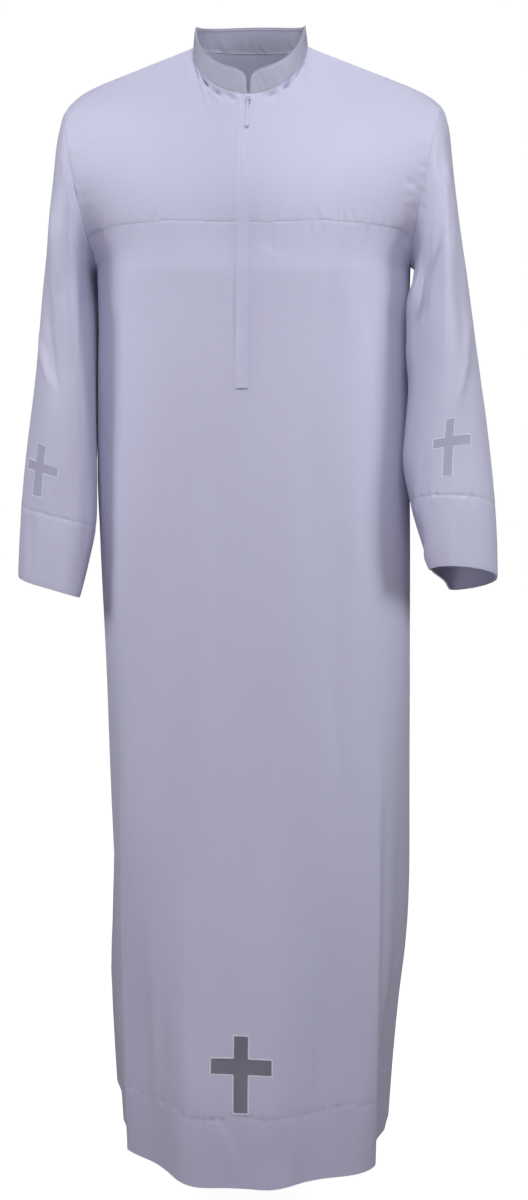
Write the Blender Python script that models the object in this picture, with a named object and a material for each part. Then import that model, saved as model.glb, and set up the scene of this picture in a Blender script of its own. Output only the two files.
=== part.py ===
# An alb, worn with nobody in it: an open, hollow robe held at the shoulders.
# Metres, +Z up, the front faces -Y, +X is the wearer's left.
# The origin is at the middle of the neck, level with the foot of the collar at the shoulders.
# All cloth pieces are cut from one skin: rings and sections worked out from the tables below.

import math
from collections import namedtuple

import bmesh
import bpy
from mathutils import Vector

# Cloth
OUTER_HALF = 0.0007
INNER_HALF = 0.0007
HEM_INNER = 0.0015
COLLAR_HALF = 0.0010
SEAM_INSET = 0.00015
LAID_GAP = 0.0005
EVEN_LENGTH = 1e-7
LEAST_SPREAD = 0.15

# Neck, shoulders and armholes
NECK_HALF = 0.0715
NECK_FRONT = 0.075
NECK_BACK = 0.062
NECK_FRONT_Z = -0.045
NECK_SIDE_Z = 0.018
NECK_BACK_Z = 0.016
NECK_RISE_POWER = 0.95
NECK_SHIFT = -0.0045
SHOULDER_X = 0.237
SHOULDER_Z = -0.059
LEFT_SHOULDER_CROWN = 0.0110
RIGHT_SHOULDER_CROWN = 0.0165
SHOULDER_END_POWER = 12
CHEST_Z = -0.255
YOKE_LEVEL = 0.74
CHEST_SWELL = 0.0064
# How late across the chest the armhole's curve sets in, and how fast the neck's curve fades downwards
ARMHOLE_REACH = 3
NECK_BEND_REACH = 2

# Collar
COLLAR_FRONT_HEIGHT = 0.030
COLLAR_SIDE_HEIGHT = 0.026
COLLAR_BACK_HEIGHT = 0.033
COLLAR_EDGE_HEIGHT = 0.018
COLLAR_CORNER = 0.020
COLLAR_LEAN = 0.003
COLLAR_GAP_HALF = 0.0026
COLLAR_STEPS = (0.0, 0.22, 0.6, 1.0)

# Skirt
HEM_Z = -1.420
HEM_STITCH_Z = -1.324
SLIT_END_Z = -0.400
STITCH_STEP = 0.006
CUFF_LINE_RISE = 0.0018
SEAM_ANGLE_CHEST = 90.0
SEAM_ANGLE_HEM = 93.0
ARC_SAMPLES = 160

# Zip, fly and pull
FLY_COLUMNS = (-0.0105, -0.0055, 0.0, 0.0055)
FLY_TOP_DROP = 0.019
FLY_PAST_SLIT = 0.002
TAPE_COLUMNS = (-0.012, -0.006, 0.0, 0.006, 0.012)
TAPE_TOP_DROP = 0.012
TAPE_PAST_SLIT = 0.010
TAPE_HALF_THICK = 0.0006
NORMAL_REACH = 0.004
NORMAL_DROP = 0.01
LEAST_STEP = 0.03
SLIDER_DROP = 0.0085
SLIDER_GAP = 0.0003
SLIDER_WIDTH = 0.0070
SLIDER_LENGTH = 0.0090
SLIDER_THICK = 0.0020
# Half widths down the slider's body: broad shoulders that narrow to its mouth
SliderWidth = namedtuple("SliderWidth", "length_share width_share")
SLIDER_OUTLINE = (
    SliderWidth(-0.50, 0.30),
    SliderWidth(-0.34, 0.48),
    SliderWidth(-0.05, 0.50),
    SliderWidth(0.34, 0.38),
    SliderWidth(0.50, 0.30),
)
PIN_RADIUS = 0.0006
PIN_HEIGHT = 0.0019
EAR_THICK = 0.0010
EAR_LENGTH = 0.0026
EAR_OVER_PIN = 0.0007
EAR_ROOT = 0.0008
EAR_GAP_HALF = 0.0017
EYE_INNER = 0.00095
EYE_OUTER = 0.0015
EYE_SIDE_GAP = 0.0004
EYE_SEGMENTS = 16
PULL_LENGTH = 0.036
PULL_NECK_HALF = 0.0012
PULL_MIDDLE_HALF = 0.0014
PULL_END_HALF = 0.0023
PULL_END_STEPS = 5
PULL_THICK = 0.0010
PULL_SET_IN = 0.0009

# Crosses let into the cloth: the front one, the two at the sides of the back and one on each sleeve
CROSSES = ("cross_front", "cross_side_left", "cross_side_right", "cross_sleeve_left", "cross_sleeve_right")
FRONT_CROSS_Z = (-1.2165, -1.2458, -1.2673, -1.3170)
SIDE_CROSS_Z = (-1.2165, -1.2458, -1.2673, -1.3170)

# Columns of the front and the back, as shares of the way from the centre to the side seam.
# From the neck point outwards both have the same ones, so they meet along the shoulder.
NECK_SHARE = 0.38
SHOULDER_COLUMNS = (NECK_SHARE, 0.43, 0.4815, 0.568, 0.622, 0.7085, 0.78, 0.85, 0.925, 1.0)
FRONT_COLUMNS = (0.0, 0.029, 0.073, 0.117, 0.18, 0.245, 0.31, *SHOULDER_COLUMNS)
FRONT_CROSS_STEM = 1
FRONT_CROSS_ARM = 3
BACK_COLUMNS = (0.0, 0.08, 0.16, 0.24, 0.31, *SHOULDER_COLUMNS)
SIDE_CROSS_STEM = (8, 9)
SIDE_CROSS_ARM = (7, 10)

# Levels down the armhole, as shares of the half turn from the shoulder point to the underarm.
# They also place the sleeve's columns, so the sleeve's cross lies between four of them.
LEFT_LEVELS = (0.0, 0.08, 0.155, 0.228, 0.300, 0.368, 0.435, 0.50, 0.58, 0.66, YOKE_LEVEL, 0.83, 0.915, 1.0)
RIGHT_LEVELS = (0.0, 0.05, 0.10, 0.20, 0.29, 0.41, 0.465, 0.52, 0.58, 0.66, YOKE_LEVEL, 0.83, 0.915, 1.0)
BACK_LEVELS = (0.0, 0.10, 0.20, 0.30, 0.40, 0.50, 0.60, 0.70, 0.80, 0.90, 1.0)

SKIRT_LEVELS = (
    -0.285, -0.320, -0.360, SLIT_END_Z, -0.450, -0.510, -0.580, -0.650, -0.730, -0.810, -0.890, -0.970,
    -1.040, -1.100, -1.160, *FRONT_CROSS_Z, HEM_STITCH_Z + STITCH_STEP * 0.4, HEM_STITCH_Z - STITCH_STEP,
    -1.372, HEM_Z,
)

Section = namedtuple("Section", "z right_half left_half front back front_square back_square")
BODY_SECTIONS = (
    Section(-0.255, 0.2000, 0.2000, 0.118, 0.112, 2.30, 2.30),
    Section(-0.285, 0.1980, 0.1980, 0.122, 0.114, 2.30, 2.30),
    Section(-0.400, 0.2015, 0.2000, 0.135, 0.118, 2.30, 2.35),
    Section(-0.580, 0.2030, 0.2025, 0.149, 0.130, 2.30, 2.45),
    Section(-0.820, 0.1930, 0.2050, 0.162, 0.155, 2.30, 2.60),
    Section(-1.030, 0.1900, 0.2070, 0.173, 0.178, 2.35, 2.80),
    Section(-1.150, 0.1900, 0.2050, 0.181, 0.194, 2.40, 2.95),
    Section(-1.240, 0.1900, 0.1960, 0.188, 0.207, 2.38, 3.05),
    Section(-1.324, 0.1870, 0.1890, 0.196, 0.220, 2.32, 3.10),
    Section(-1.420, 0.1820, 0.1820, 0.193, 0.232, 2.25, 3.10),
)

# Long folds of the skirt. Angles go round from the front's centre, + towards the wearer's left.
Fold = namedtuple("Fold", "name angle half_width depth top_z full_z")
BODY_FOLDS = (
    Fold("middle hollow", -3.0, 7.0, -0.003, -0.95, -1.30),
    Fold("left of the middle", 9.0, 9.0, 0.008, -0.90, -1.30),
    Fold("right of the middle", -14.0, 10.0, 0.010, -0.90, -1.30),
    Fold("right hollow", -44.0, 15.0, -0.017, -0.95, -1.32),
    Fold("left hollow", 29.0, 11.0, -0.009, -1.00, -1.32),
    Fold("left front corner", 54.0, 11.0, 0.008, -0.62, -1.25),
    Fold("left side hollow", 76.0, 11.0, -0.010, -0.70, -1.30),
    Fold("right side hollow", -76.0, 13.0, -0.007, -0.80, -1.20),
    Fold("right back flare", -128.0, 22.0, 0.060, -0.72, -1.27),
    Fold("left back corner", 133.0, 18.0, 0.016, -0.70, -1.30),
    Fold("back hollow right", -158.0, 12.0, -0.018, -0.55, -1.30),
    Fold("back pleat", 178.0, 12.0, 0.016, -0.45, -1.25),
    Fold("back hollow left", 156.0, 12.0, -0.016, -0.60, -1.30),
)

# One row for each ring of a sleeve, from the armhole to the cuff. z is the ring's middle, rise_out and
# rise_front are how far its outer and front points stand above that, and twist turns its columns.
Ring = namedtuple("Ring", "z rise_out rise_front out_x in_x mid_y front_x front_y back_x back_y square twist")
ARMHOLE_RING = Ring(-0.157, 0.098, 0.008, SHOULDER_X, 0.2000, 0.0, 0.2170, -0.085, 0.2200, 0.085, 2.0, 0.0)
UPPER_RINGS = (
    ARMHOLE_RING,
    Ring(-0.1635, 0.0945, 0.007, 0.2415, 0.2045, 0.000, 0.2200, -0.0865, 0.2220, 0.086, 2.00, 0.0),
    Ring(-0.1770, 0.0895, 0.004, 0.2460, 0.2070, 0.000, 0.2240, -0.0875, 0.2245, 0.087, 2.02, 0.0),
    Ring(-0.2075, 0.0775, 0.000, 0.2510, 0.2070, 0.000, 0.2290, -0.0880, 0.2290, 0.087, 2.08, 0.0),
    Ring(-0.2500, 0.0600, 0.000, 0.2590, 0.2055, 0.000, 0.2330, -0.0880, 0.2340, 0.086, 2.15, 0.0),
)
LEFT_RINGS = (
    *UPPER_RINGS,
    Ring(-0.3025, 0.0425, 0.000, 0.2720, 0.2040, 0.000, 0.2370, -0.0890, 0.2390, 0.084, 2.2, 0.0),
    Ring(-0.3740, 0.0260, 0.004, 0.2845, 0.2037, -0.004, 0.2390, -0.0920, 0.2440, 0.080, 2.2, 0.0),
    Ring(-0.4505, 0.0145, 0.010, 0.2960, 0.2037, -0.012, 0.2350, -0.0970, 0.2510, 0.072, 2.2, 0.0),
    Ring(-0.5175, 0.0075, 0.018, 0.3050, 0.2045, -0.020, 0.2310, -0.1020, 0.2570, 0.062, 2.2, 0.0),
    Ring(-0.5640, 0.0045, 0.023, 0.3105, 0.2130, -0.027, 0.2310, -0.1060, 0.2620, 0.052, 2.2, 0.0),
    Ring(-0.6070, 0.0035, 0.025, 0.3140, 0.2290, -0.031, 0.2350, -0.1080, 0.2660, 0.043, 2.2, 0.0),
    Ring(-0.6500, 0.0040, 0.026, 0.3160, 0.2480, -0.035, 0.2430, -0.1090, 0.2710, 0.035, 2.2, 0.0),
)
RIGHT_RINGS = (
    *UPPER_RINGS,
    Ring(-0.3025, 0.0425, 0.000, 0.2690, 0.2050, 0.000, 0.2290, -0.0890, 0.2410, 0.084, 2.2, 0.0),
    Ring(-0.3740, 0.0260, 0.000, 0.2800, 0.2060, -0.002, 0.2230, -0.0910, 0.2470, 0.080, 2.2, 0.0),
    Ring(-0.4505, 0.0160, 0.000, 0.2905, 0.2078, -0.006, 0.2190, -0.0940, 0.2550, 0.076, 2.2, -1.0),
    Ring(-0.5175, 0.0115, 0.001, 0.2985, 0.2093, -0.009, 0.2170, -0.0960, 0.2630, 0.072, 2.2, -8.0),
    Ring(-0.5750, 0.0105, 0.002, 0.3045, 0.2145, -0.011, 0.2150, -0.0975, 0.2690, 0.068, 2.2, -13.0),
    Ring(-0.6250, 0.0100, 0.002, 0.3090, 0.2260, -0.012, 0.2220, -0.0985, 0.2750, 0.064, 2.2, -14.0),
    Ring(-0.6700, 0.0095, 0.002, 0.3120, 0.2390, -0.012, 0.2300, -0.0990, 0.2800, 0.060, 2.2, -14.0),
)
LEFT_RING_LEVELS = (
    -0.157, -0.1635, -0.172, -0.183, -0.198, -0.216, -0.236, -0.260, -0.288, -0.320, -0.355, -0.392, -0.425,
    -0.4550, -0.4790, -0.4930, -0.5330, -0.5520, -0.5590, -0.5880, -0.6200, -0.6500,
)
LEFT_CROSS_ROWS = (13, 14, 15, 16)
LEFT_CROSS_STEM = (5, 6)
LEFT_CROSS_ARM = (3, 7)
LEFT_STITCH_ROW = 18
RIGHT_RING_LEVELS = (
    -0.157, -0.1635, -0.172, -0.183, -0.198, -0.216, -0.236, -0.260, -0.288, -0.320, -0.355, -0.392, -0.430,
    -0.4900, -0.5125, -0.5255, -0.5570, -0.5710, -0.5780, -0.6080, -0.6400, -0.6700,
)
RIGHT_CROSS_ROWS = (13, 14, 15, 16)
RIGHT_CROSS_STEM = (3, 4)
RIGHT_CROSS_ARM = (2, 5)
RIGHT_STITCH_ROW = 18

# Folds of the sleeves. angle is round the ring: 0 outside, 90 front, 180 inside, 270 back.
FOLD_FADE = 0.08
SleeveFold = namedtuple("SleeveFold", "name angle half_width depth top_z full_z end_z")
LEFT_SLEEVE_FOLDS = (
    SleeveFold("front edge", 92.0, 20.0, 0.004, -0.25, -0.36, -0.66),
    SleeveFold("inner front", 140.0, 15.0, 0.011, -0.17, -0.25, -0.56),
    SleeveFold("armpit fold", 148.0, 16.0, 0.010, -0.160, -0.195, -0.40),
    SleeveFold("elbow hollow", 20.0, 26.0, -0.004, -0.24, -0.33, -0.46),
    SleeveFold("back hollow", 250.0, 24.0, -0.006, -0.26, -0.40, -0.60),
)
RIGHT_SLEEVE_FOLDS = (
    SleeveFold("front trough", 66.0, 20.0, -0.006, -0.20, -0.30, -0.45),
    SleeveFold("front ridge", 100.0, 18.0, 0.004, -0.25, -0.36, -0.66),
    SleeveFold("inner back", 214.0, 16.0, 0.008, -0.20, -0.30, -0.56),
    SleeveFold("back hollow", 254.0, 20.0, -0.006, -0.26, -0.40, -0.60),
)

CLOTH_COLOUR = (0.62, 0.61, 0.76)
SHEER_COLOUR = (0.20, 0.18, 0.26)
TAPE_COLOUR = (0.66, 0.65, 0.76)
METAL_COLOUR = (0.74, 0.73, 0.80)


def clear_scene():
    for item in list(bpy.data.objects):
        bpy.data.objects.remove(item, do_unlink=True)


def smooth(value):
    value = min(max(value, 0.0), 1.0)
    return value * value * (3.0 - 2.0 * value)


def blend_rows(rows, z):
    """Reads every column of a table at height z, on a smooth curve through its rows."""
    heights = [row.z for row in rows]
    z = min(max(z, heights[-1]), heights[0])
    step = 0
    while step < len(rows) - 2 and z < heights[step + 1]:
        step += 1
    span = heights[step + 1] - heights[step]
    t = (z - heights[step]) / span
    values = []
    for column in range(len(rows[0])):
        here, there = rows[step][column], rows[step + 1][column]
        before = rows[max(step - 1, 0)]
        after = rows[min(step + 2, len(rows) - 1)]
        slope_here = (there - before[column]) / (rows[step + 1].z - before.z) * span
        slope_there = (after[column] - here) / (after.z - rows[step].z) * span
        cubic = (
            (2 * t**3 - 3 * t**2 + 1) * here
            + (t**3 - 2 * t**2 + t) * slope_here
            + (-2 * t**3 + 3 * t**2) * there
            + (t**3 - t**2) * slope_there
        )
        values.append(cubic)
    return rows[0]._replace(**dict(zip(rows[0]._fields, values)))


def power(value, square):
    return math.copysign(abs(value) ** (2.0 / square), value)


def angle_apart(a, b):
    return (a - b + 180.0) % 360.0 - 180.0


def body_fold(signed_angle, z):
    push = 0.0
    for fold in BODY_FOLDS:
        apart = abs(angle_apart(signed_angle, fold.angle))
        if apart < fold.half_width * 2.0:
            across = math.cos(apart / fold.half_width * math.pi / 4.0) ** 2
            push += fold.depth * across * smooth((fold.top_z - z) / (fold.top_z - fold.full_z))
    return push


def section_point(side, angle, z):
    """A point of the body at a height; angle 0 is the front's centre and 180 the back's."""
    row = blend_rows(BODY_SECTIONS, z)
    half = row.left_half if side > 0 else row.right_half
    in_front = angle <= 90.0
    square = row.front_square if in_front else row.back_square
    depth = row.front if in_front else row.back
    x = half * abs(power(math.sin(math.radians(angle)), square))
    y = -depth * power(math.cos(math.radians(angle)), square)
    outward = Vector((x / half**2, y / depth**2, 0.0)).normalized()
    push = body_fold(side * angle, z)
    return Vector((side * (x + outward.x * push), y + outward.y * push, z))


def seam_angle(z):
    return SEAM_ANGLE_CHEST + (SEAM_ANGLE_HEM - SEAM_ANGLE_CHEST) * (CHEST_Z - z) / (CHEST_Z - HEM_Z)


def section_row(side, z, shares, from_back):
    """Points at shares of the length of the arc from the centre to the side seam."""
    start = 180.0 if from_back else 0.0
    end = seam_angle(z)
    trace = []
    for i in range(ARC_SAMPLES + 1):
        # The angle steps are finer near both ends, where a squared section moves fastest
        part = (1 - math.cos(math.pi * i / ARC_SAMPLES)) / 2
        trace.append(section_point(side, start + (end - start) * part, z))
    lengths = [0.0]
    for before, after in zip(trace, trace[1:]):
        lengths.append(lengths[-1] + (after - before).length)
    points = []
    for share in shares:
        target = share * lengths[-1]
        index = 0
        while index < ARC_SAMPLES - 1 and lengths[index + 1] < target:
            index += 1
        part = (target - lengths[index]) / (lengths[index + 1] - lengths[index])
        points.append(trace[index].lerp(trace[index + 1], min(max(part, 0.0), 1.0)))
    if shares[0] == 0.0:
        points[0].x = 0.0
    if shares[-1] == 1.0:
        points[-1] = trace[-1].copy()
    return points


def neckline(side, turn, in_front):
    """The neck seam; turn goes from 0 at the centre to 1 at the shoulder."""
    angle = turn * math.pi / 2
    depth = -NECK_FRONT if in_front else NECK_BACK
    centre_z = NECK_FRONT_Z if in_front else NECK_BACK_Z
    x = side * NECK_HALF * math.sin(angle) + NECK_SHIFT * math.sin(angle) ** 2
    z = centre_z + (NECK_SIDE_Z - centre_z) * (1 - math.cos(angle)) ** NECK_RISE_POWER
    return Vector((x, depth * math.cos(angle), z))


def shoulder(side, share):
    """The shoulder seam from the neck to the sleeve head."""
    crown = LEFT_SHOULDER_CROWN if side > 0 else RIGHT_SHOULDER_CROWN
    x = side * (NECK_HALF + (SHOULDER_X - NECK_HALF) * share) + NECK_SHIFT * (1 - share)
    z = NECK_SIDE_Z + (SHOULDER_Z - NECK_SIDE_Z) * share + crown * share * (1 - share**SHOULDER_END_POWER)
    return Vector((x, 0.0, z))


def top_edge(side, share, in_front):
    if share <= NECK_SHARE:
        return neckline(side, share / NECK_SHARE, in_front)
    return shoulder(side, (share - NECK_SHARE) / (1 - NECK_SHARE))


def ring_point(side, ring, angle, folds=()):
    """A point of a sleeve's ring; angle 0 is outside, 90 front, 180 inside and 270 back."""
    turned = math.radians(angle + ring.twist)
    along = power(math.cos(turned), ring.square)
    across = power(math.sin(turned), ring.square)
    outer = Vector((ring.out_x, ring.mid_y, ring.z + ring.rise_out))
    inner = Vector((ring.in_x, ring.mid_y, ring.z - ring.rise_out))
    front = Vector((ring.front_x, ring.front_y, ring.z + ring.rise_front))
    back = Vector((ring.back_x, ring.back_y, ring.z - ring.rise_front))
    middle = (outer + inner) / 2
    shift = (front + back) / 2 - middle
    point = middle + (outer - inner) / 2 * along + (front - back) / 2 * across + shift * across**2
    push = 0.0
    for fold in folds:
        apart = abs(angle_apart(angle, fold.angle))
        if apart < fold.half_width * 2.0:
            wave = math.cos(apart / fold.half_width * math.pi / 4.0) ** 2
            begin = smooth((fold.top_z - ring.z) / (fold.top_z - fold.full_z))
            finish = smooth((ring.z - fold.end_z) / FOLD_FADE)
            push += fold.depth * wave * begin * finish
    away = (point - middle)
    away.z = 0.0
    point += away.normalized() * push
    point.x *= side
    return point


def armhole(side, share, in_front):
    """Half of the armhole, from the shoulder point (0) to the underarm (1)."""
    angle = 180.0 * share if in_front else 360.0 - 180.0 * share
    return ring_point(side, ARMHOLE_RING, angle)


def centre_line(share, in_front):
    """The centre of the front or back, from the neck seam to the chest line."""
    top = neckline(1, 0.0, in_front)
    low = section_point(1, 0.0 if in_front else 180.0, CHEST_Z)
    swell = math.sin(share * math.pi / 2)
    bulge = -CHEST_SWELL if in_front else CHEST_SWELL
    y = top.y + (low.y - top.y) * swell + bulge * math.sin(math.pi * share) ** 2
    return Vector((0.0, y, top.z + (low.z - top.z) * share))


def upper_row(side, share_down, shares, in_front):
    """A row of the chest or upper back, blended between its four edges."""
    rest = 1 - share_down
    top_start = top_edge(side, 0.0, in_front)
    top_end = top_edge(side, 1.0, in_front)
    low_start = section_point(side, 0.0 if in_front else 180.0, CHEST_Z)
    low_end = armhole(side, 1.0, in_front)
    near = centre_line(share_down, in_front)
    far = armhole(side, share_down, in_front)
    points = []
    for share, low in zip(shares, section_row(side, CHEST_Z, shares, not in_front)):
        if share == 0.0:
            points.append(near)
            continue
        if share == 1.0:
            points.append(far)
            continue
        straight = top_start.lerp(top_end, share)
        bend = top_edge(side, share, in_front) - straight
        reach = share**ARMHOLE_REACH
        point = near.lerp(far, reach) + bend * rest**NECK_BEND_REACH
        point += (straight - top_start.lerp(top_end, reach)) * rest
        point += (low - low_start.lerp(low_end, reach)) * share_down
        points.append(point)
    return points


class Skin:
    """The whole garment as one sheet, so that neighbours share their edges and their slopes."""

    def __init__(self):
        self.points = []
        self.lookup = {}
        self.faces = []
        self.normals = {}

    def place(self, point):
        return (round(point.x, 6), round(point.y, 6), round(point.z, 6))

    def vertex(self, point, tag=""):
        key = (self.place(point), tag)
        if key not in self.lookup:
            self.lookup[key] = len(self.points)
            self.points.append(point.copy())
        return self.lookup[key]

    def patch(self, rows, name_of, tags=None, flip=False):
        """Adds quads between rows; name_of(row, column) gives each quad's piece, or None for a hole."""
        for r in range(len(rows) - 1):
            for c in range(len(rows[r]) - 1):
                corners = [(r, c), (r + 1, c), (r + 1, c + 1), (r, c + 1)]
                if flip:
                    corners.reverse()
                loop = []
                for i, j in corners:
                    tag = tags(i, j) if tags else ""
                    vertex = self.vertex(rows[i][j], tag)
                    if vertex not in loop:
                        loop.append(vertex)
                if len(loop) > 2:
                    self.faces.append((name_of(r, c), tuple(loop)))

    def find_normals(self):
        sums = {}
        for name, loop in self.faces:
            corners = [self.points[i] for i in loop]
            area = Vector()
            for a, b in zip(corners[1:], corners[2:]):
                area += (a - corners[0]).cross(b - corners[0])
            direction = area.normalized()
            for index, vertex in enumerate(loop):
                here = self.points[vertex]
                before = (self.points[loop[index - 1]] - here).normalized()
                after = (self.points[loop[(index + 1) % len(loop)]] - here).normalized()
                opening = before.angle(after, 0.0)
                key = self.place(here)
                sums[key] = sums.get(key, Vector()) + direction * opening
        self.normals = {key: total.normalized() for key, total in sums.items()}

    def piece(self, name):
        """The points, normals and faces of one piece."""
        used = {}
        faces = []
        for owner, loop in self.faces:
            if owner == name:
                faces.append(tuple(used.setdefault(v, len(used)) for v in loop))
        points = [self.points[v].copy() for v in used]
        normals = [self.normals[self.place(p)] for p in points]
        return points, normals, faces


def rim_edges(faces):
    """The directed edges that only one face has."""
    edges = {}
    for loop in faces:
        for a, b in zip(loop, loop[1:] + loop[:1]):
            edges[(a, b)] = True
    return [edge for edge in edges if (edge[1], edge[0]) not in edges]


def pull_in(points, normals, edges, distance):
    """Moves the points of the rim into the sheet, so that pieces stay apart at their seams."""
    inward = {}
    for a, b in edges:
        along = (points[b] - points[a]).normalized()
        for vertex in (a, b):
            inward.setdefault(vertex, []).append(normals[vertex].cross(along).normalized())
    moved = [p.copy() for p in points]
    for vertex, ways in inward.items():
        total = sum(ways, Vector())
        if len(ways) == 2:
            spread = 1.0 + ways[0].dot(ways[1])
            if spread > LEAST_SPREAD:
                moved[vertex] += total / spread * distance
    return moved


def make_material(name, colour, roughness, metallic=0.0):
    material = bpy.data.materials.new(name)
    material.use_nodes = True
    shader = material.node_tree.nodes["Principled BSDF"]
    shader.inputs["Base Color"].default_value = (*colour, 1.0)
    shader.inputs["Roughness"].default_value = roughness
    shader.inputs["Metallic"].default_value = metallic
    material.diffuse_color = (*colour, 1.0)
    return material


def add_object(name, vertices, faces, material):
    mesh = bpy.data.meshes.new(name)
    mesh.from_pydata([tuple(v) for v in vertices], [], faces)
    mesh.update()
    mesh.shade_smooth()
    mesh.set_sharp_from_angle(angle=math.radians(40))
    item = bpy.data.objects.new(name, mesh)
    bpy.context.scene.collection.objects.link(item)
    mesh.materials.append(material)
    return item


def split_face(points, loop):
    """Cuts a quad along its shorter diagonal, so that both faces of a wall bend along the same line."""
    if len(loop) == 3:
        return [loop]
    a, b, c, d = loop
    if (points[a] - points[c]).length <= (points[b] - points[d]).length:
        return [(a, b, c), (a, c, d)]
    return [(a, b, d), (b, c, d)]


def split_rim(vertices, count, edge):
    """Cuts a quad of the rim along its shorter diagonal, the same one that the neighbour's rim takes."""
    a, b = edge
    one, other = sorted(edge, key=lambda vertex: tuple(vertices[vertex]))
    straight = (vertices[one] - vertices[other + count]).length
    crossed = (vertices[other] - vertices[one + count]).length
    kept = one if straight <= crossed + EVEN_LENGTH else other
    if kept == b:
        return [(b, a, a + count), (b, a + count, b + count)]
    return [(b, a, b + count), (a, a + count, b + count)]


def both_faces(points, normals, outer, inner_of):
    depths = [inner_of(p) if inner_of else INNER_HALF for p in points]
    outside = [p + n * outer for p, n in zip(points, normals)]
    inside = [p - n * d for p, n, d in zip(points, normals, depths)]
    return outside + inside


def wall(name, points, normals, faces, material, outer=OUTER_HALF, inner_of=None):
    """Turns a sheet into a closed wall: an outer face, an inner face and the rim between them."""
    edges = rim_edges(faces)
    seam = both_faces(points, normals, outer, inner_of)
    points = pull_in(points, normals, edges, SEAM_INSET)
    vertices = both_faces(points, normals, outer, inner_of)
    count = len(points)
    triangles = [triangle for loop in faces for triangle in split_face(points, loop)]
    shell = list(triangles)
    shell += [tuple(v + count for v in reversed(triangle)) for triangle in triangles]
    shell += [triangle for edge in edges for triangle in split_rim(seam, count, edge)]
    return add_object(name, vertices, shell, material)


def front_rows(side, levels):
    rows = [upper_row(side, v, FRONT_COLUMNS, True) for v in levels]
    rows += [section_row(side, z, FRONT_COLUMNS, False) for z in SKIRT_LEVELS]
    return rows


def back_rows(side):
    rows = [upper_row(side, v, BACK_COLUMNS, False) for v in BACK_LEVELS]
    rows += [section_row(side, z, BACK_COLUMNS, True) for z in SKIRT_LEVELS]
    return rows


def in_cross(row, column, rows, stem, arm):
    """True inside a cross whose edges are grid lines: rows of top, arm top, arm foot and foot."""
    top, arm_top, arm_foot, foot = rows
    if not top <= row < foot:
        return False
    low, high = arm if arm_top <= row < arm_foot else stem
    return low <= column < high


def add_fronts(skin):
    for side, levels, yoke in ((1, LEFT_LEVELS, "yoke_left"), (-1, RIGHT_LEVELS, "yoke_right")):
        rows = front_rows(side, levels)
        yoke_row = levels.index(YOKE_LEVEL)
        first_skirt = len(levels)
        cross_rows = [first_skirt + SKIRT_LEVELS.index(z) for z in FRONT_CROSS_Z]
        slit_row = first_skirt + SKIRT_LEVELS.index(SLIT_END_Z)

        def name_of(r, c):
            if r < yoke_row:
                return yoke
            if in_cross(r, c, cross_rows, (0, FRONT_CROSS_STEM), (0, FRONT_CROSS_ARM)):
                return "cross_front"
            return "front"

        def tags(i, j):
            return yoke if j == 0 and i < slit_row else ""

        skin.patch(rows, name_of, tags, flip=side < 0)


def add_backs(skin):
    for side, cross in ((1, "cross_side_left"), (-1, "cross_side_right")):
        rows = back_rows(side)
        first_skirt = len(BACK_LEVELS)
        cross_rows = [first_skirt + SKIRT_LEVELS.index(z) for z in SIDE_CROSS_Z]

        def name_of(r, c):
            return cross if in_cross(r, c, cross_rows, SIDE_CROSS_STEM, SIDE_CROSS_ARM) else "back"

        skin.patch(rows, name_of, flip=side > 0)


def sleeve_angles(levels):
    front = [180.0 * v for v in levels]
    back = [360.0 - 180.0 * v for v in reversed(BACK_LEVELS)]
    return front + back[1:]


def add_sleeves(skin):
    sleeves = (
        (1, "sleeve_left", "cross_sleeve_left", LEFT_LEVELS, LEFT_RINGS, LEFT_RING_LEVELS,
         LEFT_SLEEVE_FOLDS, LEFT_CROSS_ROWS, LEFT_CROSS_STEM, LEFT_CROSS_ARM),
        (-1, "sleeve_right", "cross_sleeve_right", RIGHT_LEVELS, RIGHT_RINGS, RIGHT_RING_LEVELS,
         RIGHT_SLEEVE_FOLDS, RIGHT_CROSS_ROWS, RIGHT_CROSS_STEM, RIGHT_CROSS_ARM),
    )
    for side, name, cross, levels, rings, heights, folds, cross_rows, stem, arm in sleeves:
        angles = sleeve_angles(levels)
        rows = []
        for z in heights:
            ring = blend_rows(rings, z)
            rows.append([ring_point(side, ring, angle, folds) for angle in angles])
            rows[-1][-1] = rows[-1][0].copy()

        def name_of(r, c):
            return cross if in_cross(r, c, cross_rows, stem, arm) else name

        skin.patch(rows, name_of, flip=side > 0)


def collar_height(turn, in_front, from_edge):
    if not in_front:
        return COLLAR_BACK_HEIGHT + (COLLAR_SIDE_HEIGHT - COLLAR_BACK_HEIGHT) * smooth(turn)
    height = COLLAR_FRONT_HEIGHT + (COLLAR_SIDE_HEIGHT - COLLAR_FRONT_HEIGHT) * smooth(turn)
    if from_edge < COLLAR_CORNER:
        rest = 1 - from_edge / COLLAR_CORNER
        height = COLLAR_EDGE_HEIGHT + (height - COLLAR_EDGE_HEIGHT) * math.sqrt(max(1 - rest**2, 0.0))
    return height


def collar_column(side, turn, in_front):
    foot = neckline(side, turn, in_front)
    inward = Vector((-foot.x, -foot.y, 0.0)).normalized()
    height = collar_height(turn, in_front, abs(foot.x) if in_front else 1.0)
    column = []
    for step in COLLAR_STEPS:
        point = foot + Vector((0, 0, height * step)) + inward * COLLAR_LEAN * step
        if in_front and turn == 0.0:
            point.x += side * COLLAR_GAP_HALF * min(step * 4.0, 1.0)
        column.append(point)
    return column


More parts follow.
